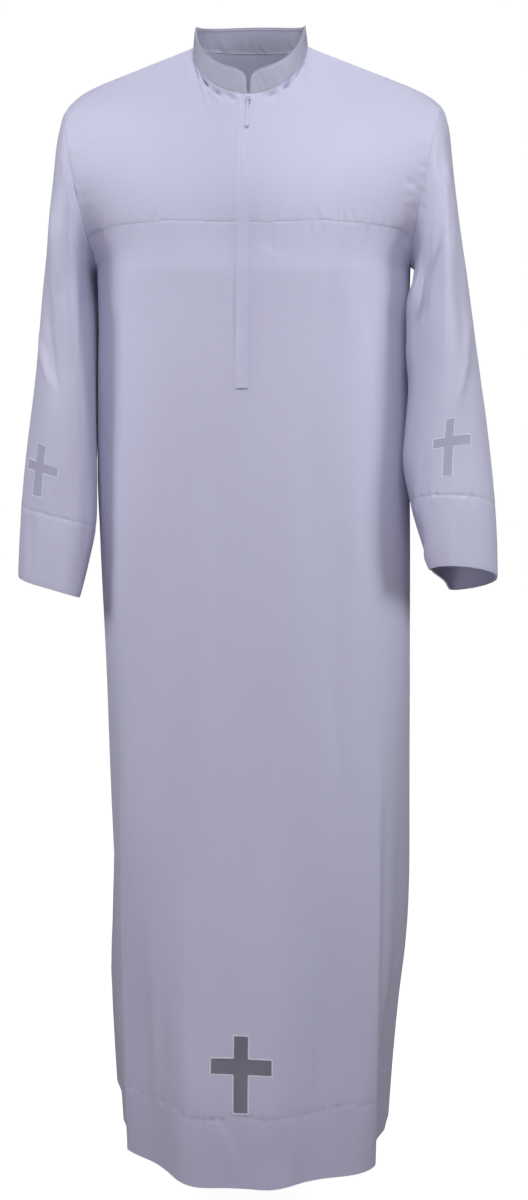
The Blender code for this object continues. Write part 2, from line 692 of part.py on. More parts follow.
def add_collar(skin):
    for side in (1, -1):
        front = [share / NECK_SHARE for share in FRONT_COLUMNS if share <= NECK_SHARE]
        back = [share / NECK_SHARE for share in BACK_COLUMNS if share <= NECK_SHARE]
        columns = [collar_column(side, turn, True) for turn in front]
        columns += [collar_column(side, turn, False) for turn in reversed(back[:-1])]
        rows = [list(row) for row in zip(*columns)]
        tag = "yoke_left" if side > 0 else "yoke_right"
        skin.patch(rows, lambda r, c: "collar", lambda i, j: tag if j == 0 else "", flip=side > 0)


def cloth_depth(point):
    """How far the cloth goes in from the skin: deeper where the hem is turned up double."""
    return HEM_INNER if point.z < HEM_STITCH_Z else INNER_HALF


def cuff_depth(rings, heights, stitch_row):
    """Double cloth below the cuff's line of stitches, on rings that tilt forwards."""
    ring = blend_rows(rings, heights[stitch_row])
    slope = 2 * ring.rise_front / (ring.front_y - ring.back_y)
    middle_y = (ring.front_y + ring.back_y) / 2

    def depth(point):
        line = ring.z + slope * (point.y - middle_y) + CUFF_LINE_RISE
        return HEM_INNER if point.z < line else INNER_HALF

    return depth


def build_cloth(skin):
    cloth = make_material("lavender white cloth", CLOTH_COLOUR, 0.62)
    sheer = make_material("sheer inset", SHEER_COLOUR, 0.75)
    for name in ("yoke_left", "yoke_right", "front", "back"):
        wall(name, *skin.piece(name), cloth, inner_of=cloth_depth)
    left_depth = cuff_depth(LEFT_RINGS, LEFT_RING_LEVELS, LEFT_STITCH_ROW)
    right_depth = cuff_depth(RIGHT_RINGS, RIGHT_RING_LEVELS, RIGHT_STITCH_ROW)
    wall("sleeve_left", *skin.piece("sleeve_left"), cloth, inner_of=left_depth)
    wall("sleeve_right", *skin.piece("sleeve_right"), cloth, inner_of=right_depth)
    wall("collar", *skin.piece("collar"), cloth, COLLAR_HALF, lambda p: COLLAR_HALF)
    for name in CROSSES:
        wall(name, *skin.piece(name), sheer)
    return cloth


def centre_front(x, level):
    """A point near the front's centre; level is 0 at the neck, 1 at the chest, then 1 plus metres down."""
    side = 1 if x >= 0 else -1
    shares = FRONT_COLUMNS[:3]
    if level <= 1.0:
        row = upper_row(side, level, shares, True)
    else:
        row = section_row(side, CHEST_Z - (level - 1.0), shares, False)
    step = 0 if abs(x) < abs(row[1].x) else 1
    part = (abs(x) - abs(row[step].x)) / (abs(row[step + 1].x) - abs(row[step].x))
    return row[step].lerp(row[step + 1], part)


def centre_normal(x, level):
    across = centre_front(x + NORMAL_REACH, level) - centre_front(x - NORMAL_REACH, level)
    down = centre_front(x, level + NORMAL_DROP) - centre_front(x, max(level - NORMAL_DROP, 0.0))
    return down.cross(across).normalized()


def strip_levels(top_level, bottom_z):
    """The front's own levels between the strip's ends, without those that lie too near to an end."""
    levels = [top_level] + [v for v in LEFT_LEVELS if v > top_level + LEAST_STEP]
    levels += [1.0 + CHEST_Z - z for z in SKIRT_LEVELS if z > bottom_z + NORMAL_DROP]
    return levels + [1.0 + CHEST_Z - bottom_z]


def build_strip(name, xs, levels, offset, half, material):
    """A strip laid over or under the front opening, made from the front's own points."""
    points = []
    normals = []
    for level in levels:
        for x in xs:
            normal = centre_normal(x, level)
            points.append(centre_front(x, level) + normal * offset)
            normals.append(normal)
    width = len(xs)
    faces = []
    for r in range(len(levels) - 1):
        for c in range(width - 1):
            corner = r * width + c
            faces.append((corner, corner + width, corner + width + 1, corner + 1))
    return wall(name, points, normals, faces, material, half, lambda p: half)


def build_fly_and_tape(cloth):
    tape = make_material("zip tape", TAPE_COLOUR, 0.7)
    neck_to_chest = NECK_FRONT_Z - CHEST_Z
    fly_levels = strip_levels(FLY_TOP_DROP / neck_to_chest, SLIT_END_Z - FLY_PAST_SLIT)
    fly_offset = OUTER_HALF + LAID_GAP + OUTER_HALF
    build_strip("fly", FLY_COLUMNS, fly_levels, fly_offset, OUTER_HALF, cloth)
    tape_levels = strip_levels(TAPE_TOP_DROP / neck_to_chest, SLIT_END_Z - TAPE_PAST_SLIT)
    tape_offset = -(INNER_HALF + LAID_GAP + TAPE_HALF_THICK)
    build_strip("zip_tape", TAPE_COLUMNS, tape_levels, tape_offset, TAPE_HALF_THICK, tape)


def box_mesh(bm, size, centre):
    made = bmesh.ops.create_cube(bm, size=1.0)["verts"]
    for vertex in made:
        vertex.co = Vector([vertex.co[i] * size[i] + centre[i] for i in range(3)])
    return made


def to_slider_frame(bm, origin, outward, down):
    """Turns local X, Y (down) and Z (outward) into the slider's place on the front."""
    across = Vector((1.0, 0.0, 0.0))
    for vertex in bm.verts:
        local = vertex.co.copy()
        vertex.co = origin + across * local.x + down * local.y + outward * local.z
    bmesh.ops.recalc_face_normals(bm, faces=bm.faces)


def finish_mesh(name, bm, material, smooth_angle=35):
    mesh = bpy.data.meshes.new(name)
    bm.to_mesh(mesh)
    bm.free()
    mesh.shade_smooth()
    mesh.set_sharp_from_angle(angle=math.radians(smooth_angle))
    mesh.materials.append(material)
    item = bpy.data.objects.new(name, mesh)
    bpy.context.scene.collection.objects.link(item)
    return item


def plate_mesh(bm, half_outline, middle_z, thick):
    """A flat plate from one side of its outline, given as (x, y) pairs from one end to the other."""
    ring = list(half_outline) + [(-x, y) for x, y in reversed(half_outline) if x > 0]
    low = [bm.verts.new((x, y, middle_z - thick / 2)) for x, y in ring]
    high = [bm.verts.new((x, y, middle_z + thick / 2)) for x, y in ring]
    bm.faces.new(low)
    bm.faces.new(list(reversed(high)))
    for i in range(len(ring)):
        j = (i + 1) % len(ring)
        bm.faces.new((low[j], low[i], high[i], high[j]))


def build_slider(material, origin, outward, down):
    """The slider's body with two ears and the pin between them, as one solid."""
    bm = bmesh.new()
    outline = [(row.width_share * SLIDER_WIDTH, row.length_share * SLIDER_LENGTH) for row in SLIDER_OUTLINE]
    plate_mesh(bm, outline, 0.0, SLIDER_THICK)
    to_slider_frame(bm, origin, outward, down)
    body = finish_mesh("zip_slider", bm, material)

    bridge = bmesh.new()
    pin_z = SLIDER_THICK / 2 + PIN_HEIGHT
    ear_foot = SLIDER_THICK / 2 - EAR_ROOT
    ear_top = pin_z + EAR_OVER_PIN
    for way in (1, -1):
        x = way * (EAR_GAP_HALF + EAR_THICK / 2)
        box_mesh(bridge, (EAR_THICK, EAR_LENGTH, ear_top - ear_foot), (x, 0, (ear_top + ear_foot) / 2))
    to_slider_frame(bridge, origin, outward, down)
    ears = finish_mesh("slider_ears", bridge, material)

    rod = bmesh.new()
    made = bmesh.ops.create_cone(rod, cap_ends=True, segments=12, radius1=PIN_RADIUS, radius2=PIN_RADIUS,
                                 depth=2 * EAR_GAP_HALF + EAR_THICK)["verts"]
    for vertex in made:
        vertex.co = Vector((vertex.co.z, vertex.co.x, vertex.co.y + pin_z))
    to_slider_frame(rod, origin, outward, down)
    pin = finish_mesh("slider_pin", rod, material)

    for other in (ears, pin):
        join_to(body, other)
    return origin + outward * pin_z


def join_to(item, other):
    """Unites another closed shape with an object and leaves that shape out of the model."""
    other.hide_render = True
    other.display_type = "WIRE"
    join = item.modifiers.new(other.name, "BOOLEAN")
    join.operation = "UNION"
    join.object = other


def build_pull(material, pivot, outward, down):
    """The pull tab: an eye round the pin and a blade that widens to a rounded end."""
    bm = bmesh.new()
    half = EAR_GAP_HALF - EYE_SIDE_GAP
    turns = [2 * math.pi * i / EYE_SEGMENTS for i in range(EYE_SEGMENTS)]
    rings = []
    for radius, x in ((EYE_INNER, -half), (EYE_OUTER, -half), (EYE_OUTER, half), (EYE_INNER, half)):
        rings.append([bm.verts.new((x, radius * math.sin(t), radius * math.cos(t))) for t in turns])
    for here, there in zip(rings, rings[1:] + rings[:1]):
        for i in range(EYE_SEGMENTS):
            j = (i + 1) % EYE_SEGMENTS
            bm.faces.new((here[i], here[j], there[j], there[i]))
    to_slider_frame(bm, pivot, outward, down)
    eye = finish_mesh("zip_pull", bm, material)

    blade = bmesh.new()
    end_centre = PULL_LENGTH - PULL_END_HALF
    outline = [
        (PULL_NECK_HALF, (EYE_INNER + EYE_OUTER) / 2),
        (PULL_MIDDLE_HALF, PULL_LENGTH / 2),
        (PULL_END_HALF, PULL_LENGTH * 2 / 3),
        (PULL_END_HALF, end_centre),
    ]
    for i in range(1, PULL_END_STEPS):
        angle = math.pi / 2 * i / PULL_END_STEPS
        outline.append((PULL_END_HALF * math.cos(angle), end_centre + PULL_END_HALF * math.sin(angle)))
    outline.append((0.0, PULL_LENGTH))
    plate_mesh(blade, outline, -PULL_SET_IN, PULL_THICK)
    to_slider_frame(blade, pivot, outward, down)
    join_to(eye, finish_mesh("pull_blade", blade, material))
    move_origin(eye, pivot)


def move_origin(item, place):
    """Puts an object's origin on its joint's axis and leaves its shape where it is."""
    for vertex in item.data.vertices:
        vertex.co -= place
    item.location = place


def build_zip_parts():
    metal = make_material("white enamel", METAL_COLOUR, 0.35, 0.2)
    neck_to_chest = NECK_FRONT_Z - CHEST_Z
    level = SLIDER_DROP / neck_to_chest
    skin_point = centre_front(0.0, level)
    outward = centre_normal(0.0, level)
    down = outward.cross(Vector((1.0, 0.0, 0.0))).normalized()
    if down.z > 0:
        down.negate()
    origin = skin_point + outward * (OUTER_HALF + SLIDER_GAP + SLIDER_THICK / 2)
    pivot = build_slider(metal, origin, outward, down)
    # The blade hangs along a chord of the swelling chest, as high over it at its end as at its pivot
    end_level = level + PULL_LENGTH / neck_to_chest
    end = centre_front(0.0, end_level) + centre_normal(0.0, end_level) * (pivot - skin_point).length
    hang = (end - pivot).normalized()
    build_pull(metal, pivot, Vector((1.0, 0.0, 0.0)).cross(hang), hang)
    print("zip pull's axis passes through", [round(c, 5) for c in pivot])


def build():
    clear_scene()
    skin = Skin()
    add_fronts(skin)
    add_backs(skin)
    add_sleeves(skin)
    add_collar(skin)
    skin.find_normals()
    cloth = build_cloth(skin)
    build_fly_and_tape(cloth)
    build_zip_parts()


build()
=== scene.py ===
import math

import bpy
import mathutils
import numpy as np
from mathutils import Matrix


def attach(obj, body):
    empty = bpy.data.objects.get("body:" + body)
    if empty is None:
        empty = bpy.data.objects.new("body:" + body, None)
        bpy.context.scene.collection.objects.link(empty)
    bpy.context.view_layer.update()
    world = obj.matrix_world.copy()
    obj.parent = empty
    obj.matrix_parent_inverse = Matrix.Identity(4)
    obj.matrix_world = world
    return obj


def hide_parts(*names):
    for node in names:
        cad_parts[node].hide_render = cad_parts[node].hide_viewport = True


# A white alb filled out with nobody in it. Metres, +Z up, the front faces -Y, +X is the wearer's left.

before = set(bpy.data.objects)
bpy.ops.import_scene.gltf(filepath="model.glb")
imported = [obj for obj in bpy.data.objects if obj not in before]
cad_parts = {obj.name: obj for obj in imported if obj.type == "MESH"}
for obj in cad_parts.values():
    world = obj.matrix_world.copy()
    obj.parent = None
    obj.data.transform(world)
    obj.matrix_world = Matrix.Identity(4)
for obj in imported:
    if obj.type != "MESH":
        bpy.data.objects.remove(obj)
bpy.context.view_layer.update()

# Camera

lookFrom = {"place": (0.2392, -2.589, -0.2575), "tiltDown": 9.4, "turn": 5.0, "lens": 60.0,
            "sensorWidth": 36.0}


def addCamera():
    data = bpy.data.cameras.new("camera")
    data.lens = lookFrom["lens"]
    data.sensor_width = lookFrom["sensorWidth"]
    camera = bpy.data.objects.new("camera", data)
    camera.location = lookFrom["place"]
    camera.rotation_euler = (math.radians(90 - lookFrom["tiltDown"]), 0, math.radians(lookFrom["turn"]))
    bpy.context.scene.collection.objects.link(camera)
    bpy.context.scene.camera = camera


addCamera()
print("camera is in place")

# The cut: the same rings and sections that the solids have

neck = {"half": 0.0715, "front": 0.075, "back": 0.062, "frontZ": -0.045, "sideZ": 0.018, "backZ": 0.016,
        "risePower": 0.95, "shift": -0.0045, "share": 0.38}
shoulder = {"x": 0.237, "z": -0.059, "leftCrown": 0.011, "rightCrown": 0.0165, "endPower": 12}
chest = {"z": -0.255, "yokeLevel": 0.74, "swell": 0.0064, "armholeReach": 3, "neckReach": 2}
collarCut = {"frontHeight": 0.03, "sideHeight": 0.026, "backHeight": 0.033, "edgeHeight": 0.018,
             "corner": 0.02, "lean": 0.003, "gapHalf": 0.0026, "gapReach": 0.02, "gapRise": 4,
             "half": 0.001}
skirt = {"hemZ": -1.42, "stitchZ": -1.324, "slitEndZ": -0.4, "seamChest": 90.0, "seamHem": 93.0}
cloth = {"outer": 0.0007, "inner": 0.0007, "hemInner": 0.0015, "hemStep": 0.001, "seamInset": 0.00015,
         "sharpAngle": 50}

# Columns: z, right and left half, front and back depth, how square the front and the back are
bodySections = (
    (-0.255, 0.2, 0.2, 0.118, 0.112, 2.3, 2.3),
    (-0.285, 0.198, 0.198, 0.122, 0.114, 2.3, 2.3),
    (-0.4, 0.2015, 0.2, 0.135, 0.118, 2.3, 2.35),
    (-0.58, 0.203, 0.2025, 0.149, 0.13, 2.3, 2.45),
    (-0.82, 0.193, 0.205, 0.162, 0.155, 2.3, 2.6),
    (-1.03, 0.19, 0.207, 0.173, 0.178, 2.35, 2.8),
    (-1.15, 0.19, 0.205, 0.181, 0.194, 2.4, 2.95),
    (-1.24, 0.19, 0.196, 0.188, 0.207, 2.38, 3.05),
    (-1.324, 0.187, 0.189, 0.196, 0.22, 2.32, 3.1),
    (-1.42, 0.182, 0.182, 0.193, 0.232, 2.25, 3.1),
)

# Columns: angle from the front's centre, half width, depth, z where it starts, z where it is full
skirtFolds = (
    (-3.0, 7.0, -0.003, -0.95, -1.3),
    (9.0, 9.0, 0.008, -0.9, -1.3),
    (-14.0, 10.0, 0.01, -0.9, -1.3),
    (-44.0, 15.0, -0.017, -0.95, -1.32),
    (29.0, 11.0, -0.009, -1.0, -1.32),
    (54.0, 11.0, 0.008, -0.62, -1.25),
    (76.0, 11.0, -0.01, -0.7, -1.3),
    (-76.0, 13.0, -0.007, -0.8, -1.2),
    (-128.0, 22.0, 0.06, -0.72, -1.27),
    (133.0, 18.0, 0.016, -0.7, -1.3),
    (-158.0, 12.0, -0.018, -0.55, -1.3),
    (178.0, 12.0, 0.016, -0.45, -1.25),
    (156.0, 12.0, -0.016, -0.6, -1.3),
)

# Columns: z, rise of the outer point, rise of the front point, outer x, inner x, middle y,
# front x and y, back x and y, how square the ring is, how far its columns are twisted
sleeveHead = (
    (-0.157, 0.098, 0.008, 0.237, 0.2, 0.0, 0.217, -0.085, 0.22, 0.085, 2.0, 0.0),
    (-0.1635, 0.0945, 0.007, 0.2415, 0.2045, 0.0, 0.22, -0.0865, 0.222, 0.086, 2.0, 0.0),
    (-0.177, 0.0895, 0.004, 0.246, 0.207, 0.0, 0.224, -0.0875, 0.2245, 0.087, 2.02, 0.0),
    (-0.2075, 0.0775, 0.0, 0.251, 0.207, 0.0, 0.229, -0.088, 0.229, 0.087, 2.08, 0.0),
    (-0.25, 0.06, 0.0, 0.259, 0.2055, 0.0, 0.233, -0.088, 0.234, 0.086, 2.15, 0.0),
)
leftRings = sleeveHead + (
    (-0.3025, 0.0425, 0.0, 0.272, 0.204, 0.0, 0.237, -0.089, 0.239, 0.084, 2.2, 0.0),
    (-0.374, 0.026, 0.004, 0.2845, 0.2037, -0.004, 0.239, -0.092, 0.244, 0.08, 2.2, 0.0),
    (-0.4505, 0.0145, 0.01, 0.296, 0.2037, -0.012, 0.235, -0.097, 0.251, 0.072, 2.2, 0.0),
    (-0.5175, 0.0075, 0.018, 0.305, 0.2045, -0.02, 0.231, -0.102, 0.257, 0.062, 2.2, 0.0),
    (-0.564, 0.0045, 0.023, 0.3105, 0.213, -0.027, 0.231, -0.106, 0.262, 0.052, 2.2, 0.0),
    (-0.607, 0.0035, 0.025, 0.314, 0.229, -0.031, 0.235, -0.108, 0.266, 0.043, 2.2, 0.0),
    (-0.65, 0.004, 0.026, 0.316, 0.248, -0.035, 0.243, -0.109, 0.271, 0.035, 2.2, 0.0),
)
rightRings = sleeveHead + (
    (-0.3025, 0.0425, 0.0, 0.269, 0.205, 0.0, 0.229, -0.089, 0.241, 0.084, 2.2, 0.0),
    (-0.374, 0.026, 0.0, 0.28, 0.206, -0.002, 0.223, -0.091, 0.247, 0.08, 2.2, 0.0),
    (-0.4505, 0.016, 0.0, 0.2905, 0.2078, -0.006, 0.219, -0.094, 0.255, 0.076, 2.2, -1.0),
    (-0.5175, 0.0115, 0.001, 0.2985, 0.2093, -0.009, 0.217, -0.096, 0.263, 0.072, 2.2, -8.0),
    (-0.575, 0.0105, 0.002, 0.3045, 0.2145, -0.011, 0.215, -0.0975, 0.269, 0.068, 2.2, -13.0),
    (-0.625, 0.01, 0.002, 0.309, 0.226, -0.012, 0.222, -0.0985, 0.275, 0.064, 2.2, -14.0),
    (-0.67, 0.0095, 0.002, 0.312, 0.239, -0.012, 0.23, -0.099, 0.28, 0.06, 2.2, -14.0),
)

# Columns: angle (0 outside, 90 front, 180 inside, 270 back), half width, depth, z of start, full and end
leftSleeveFolds = (
    (92.0, 20.0, 0.004, -0.25, -0.36, -0.66),
    (140.0, 15.0, 0.011, -0.17, -0.25, -0.56),
    (148.0, 16.0, 0.01, -0.16, -0.195, -0.4),
    (148.0, 15.0, 0.006, -0.195, -0.228, -0.318),
    (166.0, 14.0, 0.003, -0.2, -0.232, -0.312),
    (20.0, 26.0, -0.004, -0.24, -0.33, -0.46),
    (250.0, 24.0, -0.006, -0.26, -0.4, -0.6),
)
rightSleeveFolds = (
    (66.0, 20.0, -0.006, -0.2, -0.3, -0.45),
    (100.0, 18.0, 0.004, -0.25, -0.36, -0.66),
    (214.0, 16.0, 0.008, -0.2, -0.3, -0.56),
    (254.0, 20.0, -0.006, -0.26, -0.4, -0.6),
)
foldFade = 0.08
sectionSteps = 161

# Where the crosses are let in: z or ring rows from top to foot, then shares or levels of arms and stem
skirtCross = {"rows": (-1.2165, -1.2458, -1.2673, -1.317), "frontStem": 0.029, "frontArm": 0.117,
              "sideStem": (0.568, 0.622), "sideArm": (0.4815, 0.7085)}
leftCross = {"rows": (-0.455, -0.479, -0.493, -0.533), "stem": (0.368, 0.435), "arm": (0.228, 0.5)}
rightCross = {"rows": (-0.49, -0.5125, -0.5255, -0.557), "stem": (0.2, 0.29), "arm": (0.1, 0.41)}
# Each sleeve's rings, folds, cross and the z of its cuff's stitches, by side: 1 is the wearer's left
sleeveCut = {1: (leftRings, leftSleeveFolds, leftCross, -0.559),
             -1: (rightRings, rightSleeveFolds, rightCross, -0.578)}


def smooth(value):
    value = np.clip(value, 0.0, 1.0)
    return value * value * (3.0 - 2.0 * value)


def power(value, square):
    return np.sign(value) * np.abs(value) ** (2.0 / square)


def foldWave(angle, foldAngle, halfWidth):
    apart = np.abs((angle - foldAngle + 180.0) % 360.0 - 180.0)
    return np.where(apart < halfWidth * 2, np.cos(apart / halfWidth * math.pi / 4) ** 2, 0.0)


def readTable(rows, z):
    table = np.array(rows)
    heights = table[:, 0]
    z = np.clip(np.asarray(z, float), heights[-1], heights[0])
    step = np.clip(np.searchsorted(-heights, -z, side="left") - 1, 0, len(rows) - 2)
    before, here = table[np.maximum(step - 1, 0)], table[step]
    there, after = table[step + 1], table[np.minimum(step + 2, len(rows) - 1)]
    span = (there - here)[..., :1]
    t = (z[..., None] - here[..., :1]) / span
    slopeHere = (there - before) / (there - before)[..., :1] * span
    slopeThere = (after - here) / (after - here)[..., :1] * span
    return ((2 * t**3 - 3 * t**2 + 1) * here + (t**3 - 2 * t**2 + t) * slopeHere
            + (-2 * t**3 + 3 * t**2) * there + (t**3 - t**2) * slopeThere)


def stack(*columns):
    return np.stack(np.broadcast_arrays(*columns), -1)


def bodyPoints(side, angle, z):
    row = readTable(bodySections, z)
    half = row[..., 2] if side > 0 else row[..., 1]
    inFront = angle <= 90.0
    depth = np.where(inFront, row[..., 3], row[..., 4])
    square = np.where(inFront, row[..., 5], row[..., 6])
    turn = np.radians(angle)
    x = half * np.abs(power(np.sin(turn), square))
    y = -depth * power(np.cos(turn), square)
    outX, outY = x / half**2, y / depth**2
    push = np.zeros_like(x)
    for foldAngle, halfWidth, foldDepth, startZ, fullZ in skirtFolds:
        wave = foldWave(side * angle, foldAngle, halfWidth)
        push += foldDepth * wave * smooth((startZ - z) / (startZ - fullZ))
    push /= np.hypot(outX, outY)
    return stack(side * (x + outX * push), y + outY * push, z)


def sectionRows(side, z, shares, fromBack):
    z = np.asarray(z, float)
    start = 180.0 if fromBack else 0.0
    seamShare = (chest["z"] - z) / (chest["z"] - skirt["hemZ"])
    end = skirt["seamChest"] + (skirt["seamHem"] - skirt["seamChest"]) * seamShare
    part = (1 - np.cos(np.linspace(0, math.pi, sectionSteps))) / 2
    angle = start + (end[:, None] - start) * part[None]
    trace = bodyPoints(side, angle, np.broadcast_to(z[:, None], angle.shape))
    run = np.cumsum(np.linalg.norm(np.diff(trace, axis=1), axis=2), axis=1)
    run = np.concatenate([np.zeros((len(z), 1)), run], axis=1) / run[:, -1:]
    angles = np.stack([np.interp(shares, lengths, turns) for lengths, turns in zip(run, angle)])
    points = bodyPoints(side, angles, np.broadcast_to(z[:, None], angles.shape)).copy()
    points[:, shares == 0.0, 0] = 0.0
    return points


def neckline(side, turn, inFront):
    angle = np.asarray(turn, float) * math.pi / 2
    depth = -neck["front"] if inFront else neck["back"]
    centreZ = neck["frontZ"] if inFront else neck["backZ"]
    x = side * neck["half"] * np.sin(angle) + neck["shift"] * np.sin(angle) ** 2
    z = centreZ + (neck["sideZ"] - centreZ) * np.clip(1 - np.cos(angle), 0, 1) ** neck["risePower"]
    return stack(x, depth * np.cos(angle), z)


def shoulderLine(side, share):
    crown = shoulder["leftCrown"] if side > 0 else shoulder["rightCrown"]
    reach = neck["half"] + (shoulder["x"] - neck["half"]) * share
    x = side * reach + neck["shift"] * (1 - share)
    z = neck["sideZ"] + (shoulder["z"] - neck["sideZ"]) * share
    return stack(x, 0.0, z + crown * share * (1 - share ** shoulder["endPower"]))


def topEdge(side, shares, inFront):
    shares = np.asarray(shares, float)
    onNeck = neckline(side, np.minimum(shares / neck["share"], 1.0), inFront)
    onShoulder = shoulderLine(side, np.clip((shares - neck["share"]) / (1 - neck["share"]), 0, 1))
    return np.where((shares <= neck["share"])[:, None], onNeck, onShoulder)


def ringPoints(side, rings, heights, angles, folds=()):
    row = readTable(rings, np.asarray(heights, float))[:, None, :]
    z, riseOut, riseFront, outX, inX, midY = np.moveaxis(row[..., :6], -1, 0)
    frontX, frontY, backX, backY, square, twist = np.moveaxis(row[..., 6:], -1, 0)
    angles = np.asarray(angles, float)[None]
    turned = np.radians(angles + twist)
    along = power(np.cos(turned), square)[..., None]
    across = power(np.sin(turned), square)[..., None]
    outer, inner = stack(outX, midY, z + riseOut), stack(inX, midY, z - riseOut)
    front, back = stack(frontX, frontY, z + riseFront), stack(backX, backY, z - riseFront)
    middle = (outer + inner) / 2
    shift = (front + back) / 2 - middle
    points = middle + (outer - inner) / 2 * along + (front - back) / 2 * across + shift * across**2
    push = np.zeros(points.shape[:2])
    for foldAngle, halfWidth, depth, startZ, fullZ, endZ in folds:
        wave = foldWave(angles, foldAngle, halfWidth)
        push += depth * wave * smooth((startZ - z) / (startZ - fullZ)) * smooth((z - endZ) / foldFade)
    away = points - middle
    away[..., 2] = 0.0
    points += away / np.linalg.norm(away, axis=-1, keepdims=True) * push[..., None]
    points[..., 0] *= side
    return points


def armhole(side, levels, inFront):
    angles = 180.0 * levels if inFront else 360.0 - 180.0 * levels
    return ringPoints(side, sleeveHead, [sleeveHead[0][0]], angles)[0]


def centreLine(levels, inFront):
    top = neckline(1, 0.0, inFront)
    low = sectionRows(1, [chest["z"]], np.array([0.0]), not inFront)[0, 0]
    swell = np.sin(levels * math.pi / 2)
    bulge = -chest["swell"] if inFront else chest["swell"]
    y = top[1] + (low[1] - top[1]) * swell + bulge * np.sin(math.pi * levels) ** 2
    return stack(0.0, y, top[2] + (low[2] - top[2]) * levels)


def upperRows(side, levels, shares, inFront):
    v, s = levels[:, None, None], shares[None, :, None]
    near = centreLine(levels, inFront)[:, None]
    far = armhole(side, levels, inFront)[:, None]
    top = topEdge(side, shares, inFront)[None]
    topStart, topEnd = top[:, :1], top[:, -1:]
    low = sectionRows(side, [chest["z"]], shares, not inFront)
    lowStart, lowEnd = low[:, :1], low[:, -1:]
    reach = s ** chest["armholeReach"]
    straight = topStart + (topEnd - topStart) * s
    points = near + (far - near) * reach + (top - straight) * (1 - v) ** chest["neckReach"]
    points += (straight - topStart - (topEnd - topStart) * reach) * (1 - v)
    return points + (low - lowStart - (lowEnd - lowStart) * reach) * v


# Grids: each panel is a grid of points, finer where it is sewn

fineness = {"column": 0.01, "level": 0.0125, "seamStep": 0.0045, "yokeSeam": 0.012, "cuffHalf": 0.007}
levelCounts = (14, 10, 7, 9, 28, 2, 18)


def spreadCounts(stops, counts):
    values = [stops[0]]
    for low, high, count in zip(stops, stops[1:], counts):
        values += list(low + (high - low) * np.arange(1, count + 1) / count)
    return np.array(values)


def spread(stops, steps):
    spans = zip(stops, stops[1:], steps)
    return spreadCounts(stops, [max(1, round(abs(high - low) / step)) for low, high, step in spans])


def evenSpread(stops, step):
    return spread(stops, [step] * (len(stops) - 1))


def levelRows(cross):
    stem, arm, yoke = cross["stem"], cross["arm"], chest["yokeLevel"]
    return spreadCounts((0.0, arm[0], *stem, arm[1], yoke, yoke + fineness["yokeSeam"], 1.0), levelCounts)


edge = fineness["seamStep"]
crossStops = sorted(skirtCross["sideArm"] + skirtCross["sideStem"])
sideStops = (neck["share"], *crossStops, 1 - 2 * edge, 1 - edge, 1.0)
frontStops = (0.0, skirtCross["frontStem"], skirtCross["frontArm"], *sideStops)
frontShares = evenSpread(frontStops, fineness["column"])
backShares = evenSpread((0.0, *sideStops), fineness["column"])
frontLevels = {1: levelRows(leftCross), -1: levelRows(rightCross)}
backLevels = evenSpread((0.0, 1.0), fineness["level"])
yokeRow = sum(levelCounts[:5])
skirtStops = (chest["z"], skirt["slitEndZ"], -1.19, *skirtCross["rows"], skirt["stitchZ"], -1.344, -1.412,
              skirt["hemZ"])
skirtSteps = (0.0095, 0.0095, 0.005, 0.004, 0.004, 0.0035, 0.0023, 0.0023, 0.0055, 0.004)
skirtRows = spread(skirtStops, skirtSteps)[1:]
sleeveSteps = (0.0022, 0.0036, 0.0055, 0.004, 0.004, 0.004, 0.0035, 0.0016, 0.0045)
collarSteps = np.concatenate([np.linspace(1.0, 0.86, 8), np.linspace(0.82, 0.1, 16), [0.06, 0.03, 0.0]])


def rowOf(values, value):
    return int(np.argmin(np.abs(np.asarray(values) - value)))


def idsOf(points):
    return np.arange(points.shape[0] * points.shape[1]).reshape(points.shape[:2])


def bodyGrid(inFront):
    halves = {}
    shares = frontShares if inFront else backShares
    for side in (1, -1):
        levels = frontLevels[side] if inFront else backLevels
        upper = upperRows(side, levels, shares, inFront)
        lower = sectionRows(side, skirtRows, shares, not inFront)
        halves[side] = np.concatenate([upper, lower])
    first, last = (-1, 1) if inFront else (1, -1)
    points = np.concatenate([halves[first][:, ::-1], halves[last]], axis=1)
    ids = idsOf(points)
    middle = len(shares)
    # Above this row the front is slit for the zip, and below it both halves share their middle points
    firstWhole = len(frontLevels[1]) + rowOf(skirtRows, skirt["slitEndZ"]) if inFront else 0
    ids[firstWhole:, middle] = ids[firstWhole:, middle - 1]
    return {"points": points, "ids": ids, "middle": middle}


def sleeveGrid(side):
    rings, folds, cross, stitchZ = sleeveCut[side]
    cuff = fineness["cuffHalf"]
    stops = (rings[0][0], sleeveHead[1][0], sleeveHead[-1][0], *cross["rows"], stitchZ + cuff,
             stitchZ - cuff, rings[-1][0])
    heights = spread(stops, sleeveSteps)
    angles = np.concatenate([180.0 * frontLevels[side], (360.0 - 180.0 * backLevels[::-1])[1:]])
    points = ringPoints(side, rings, heights, angles, folds)
    points[:, -1] = points[:, 0]
    if side > 0:
        points, angles = points[:, ::-1].copy(), angles[::-1]
    ids = idsOf(points)
    ids[:, -1] = ids[:, 0]
    return {"points": points, "ids": ids, "angles": angles, "heights": heights, "cross": cross,
            "stitchZ": stitchZ, "stitchRow": rowOf(heights, stitchZ)}


def collarHeight(turn, inFront, fromEdge):
    if not inFront:
        return collarCut["backHeight"] + (collarCut["sideHeight"] - collarCut["backHeight"]) * smooth(turn)
    height = collarCut["frontHeight"] + (collarCut["sideHeight"] - collarCut["frontHeight"]) * smooth(turn)
    rest = np.clip(1 - fromEdge / collarCut["corner"], 0, 1)
    low = collarCut["edgeHeight"]
    return low + (height - low) * np.sqrt(1 - rest**2)


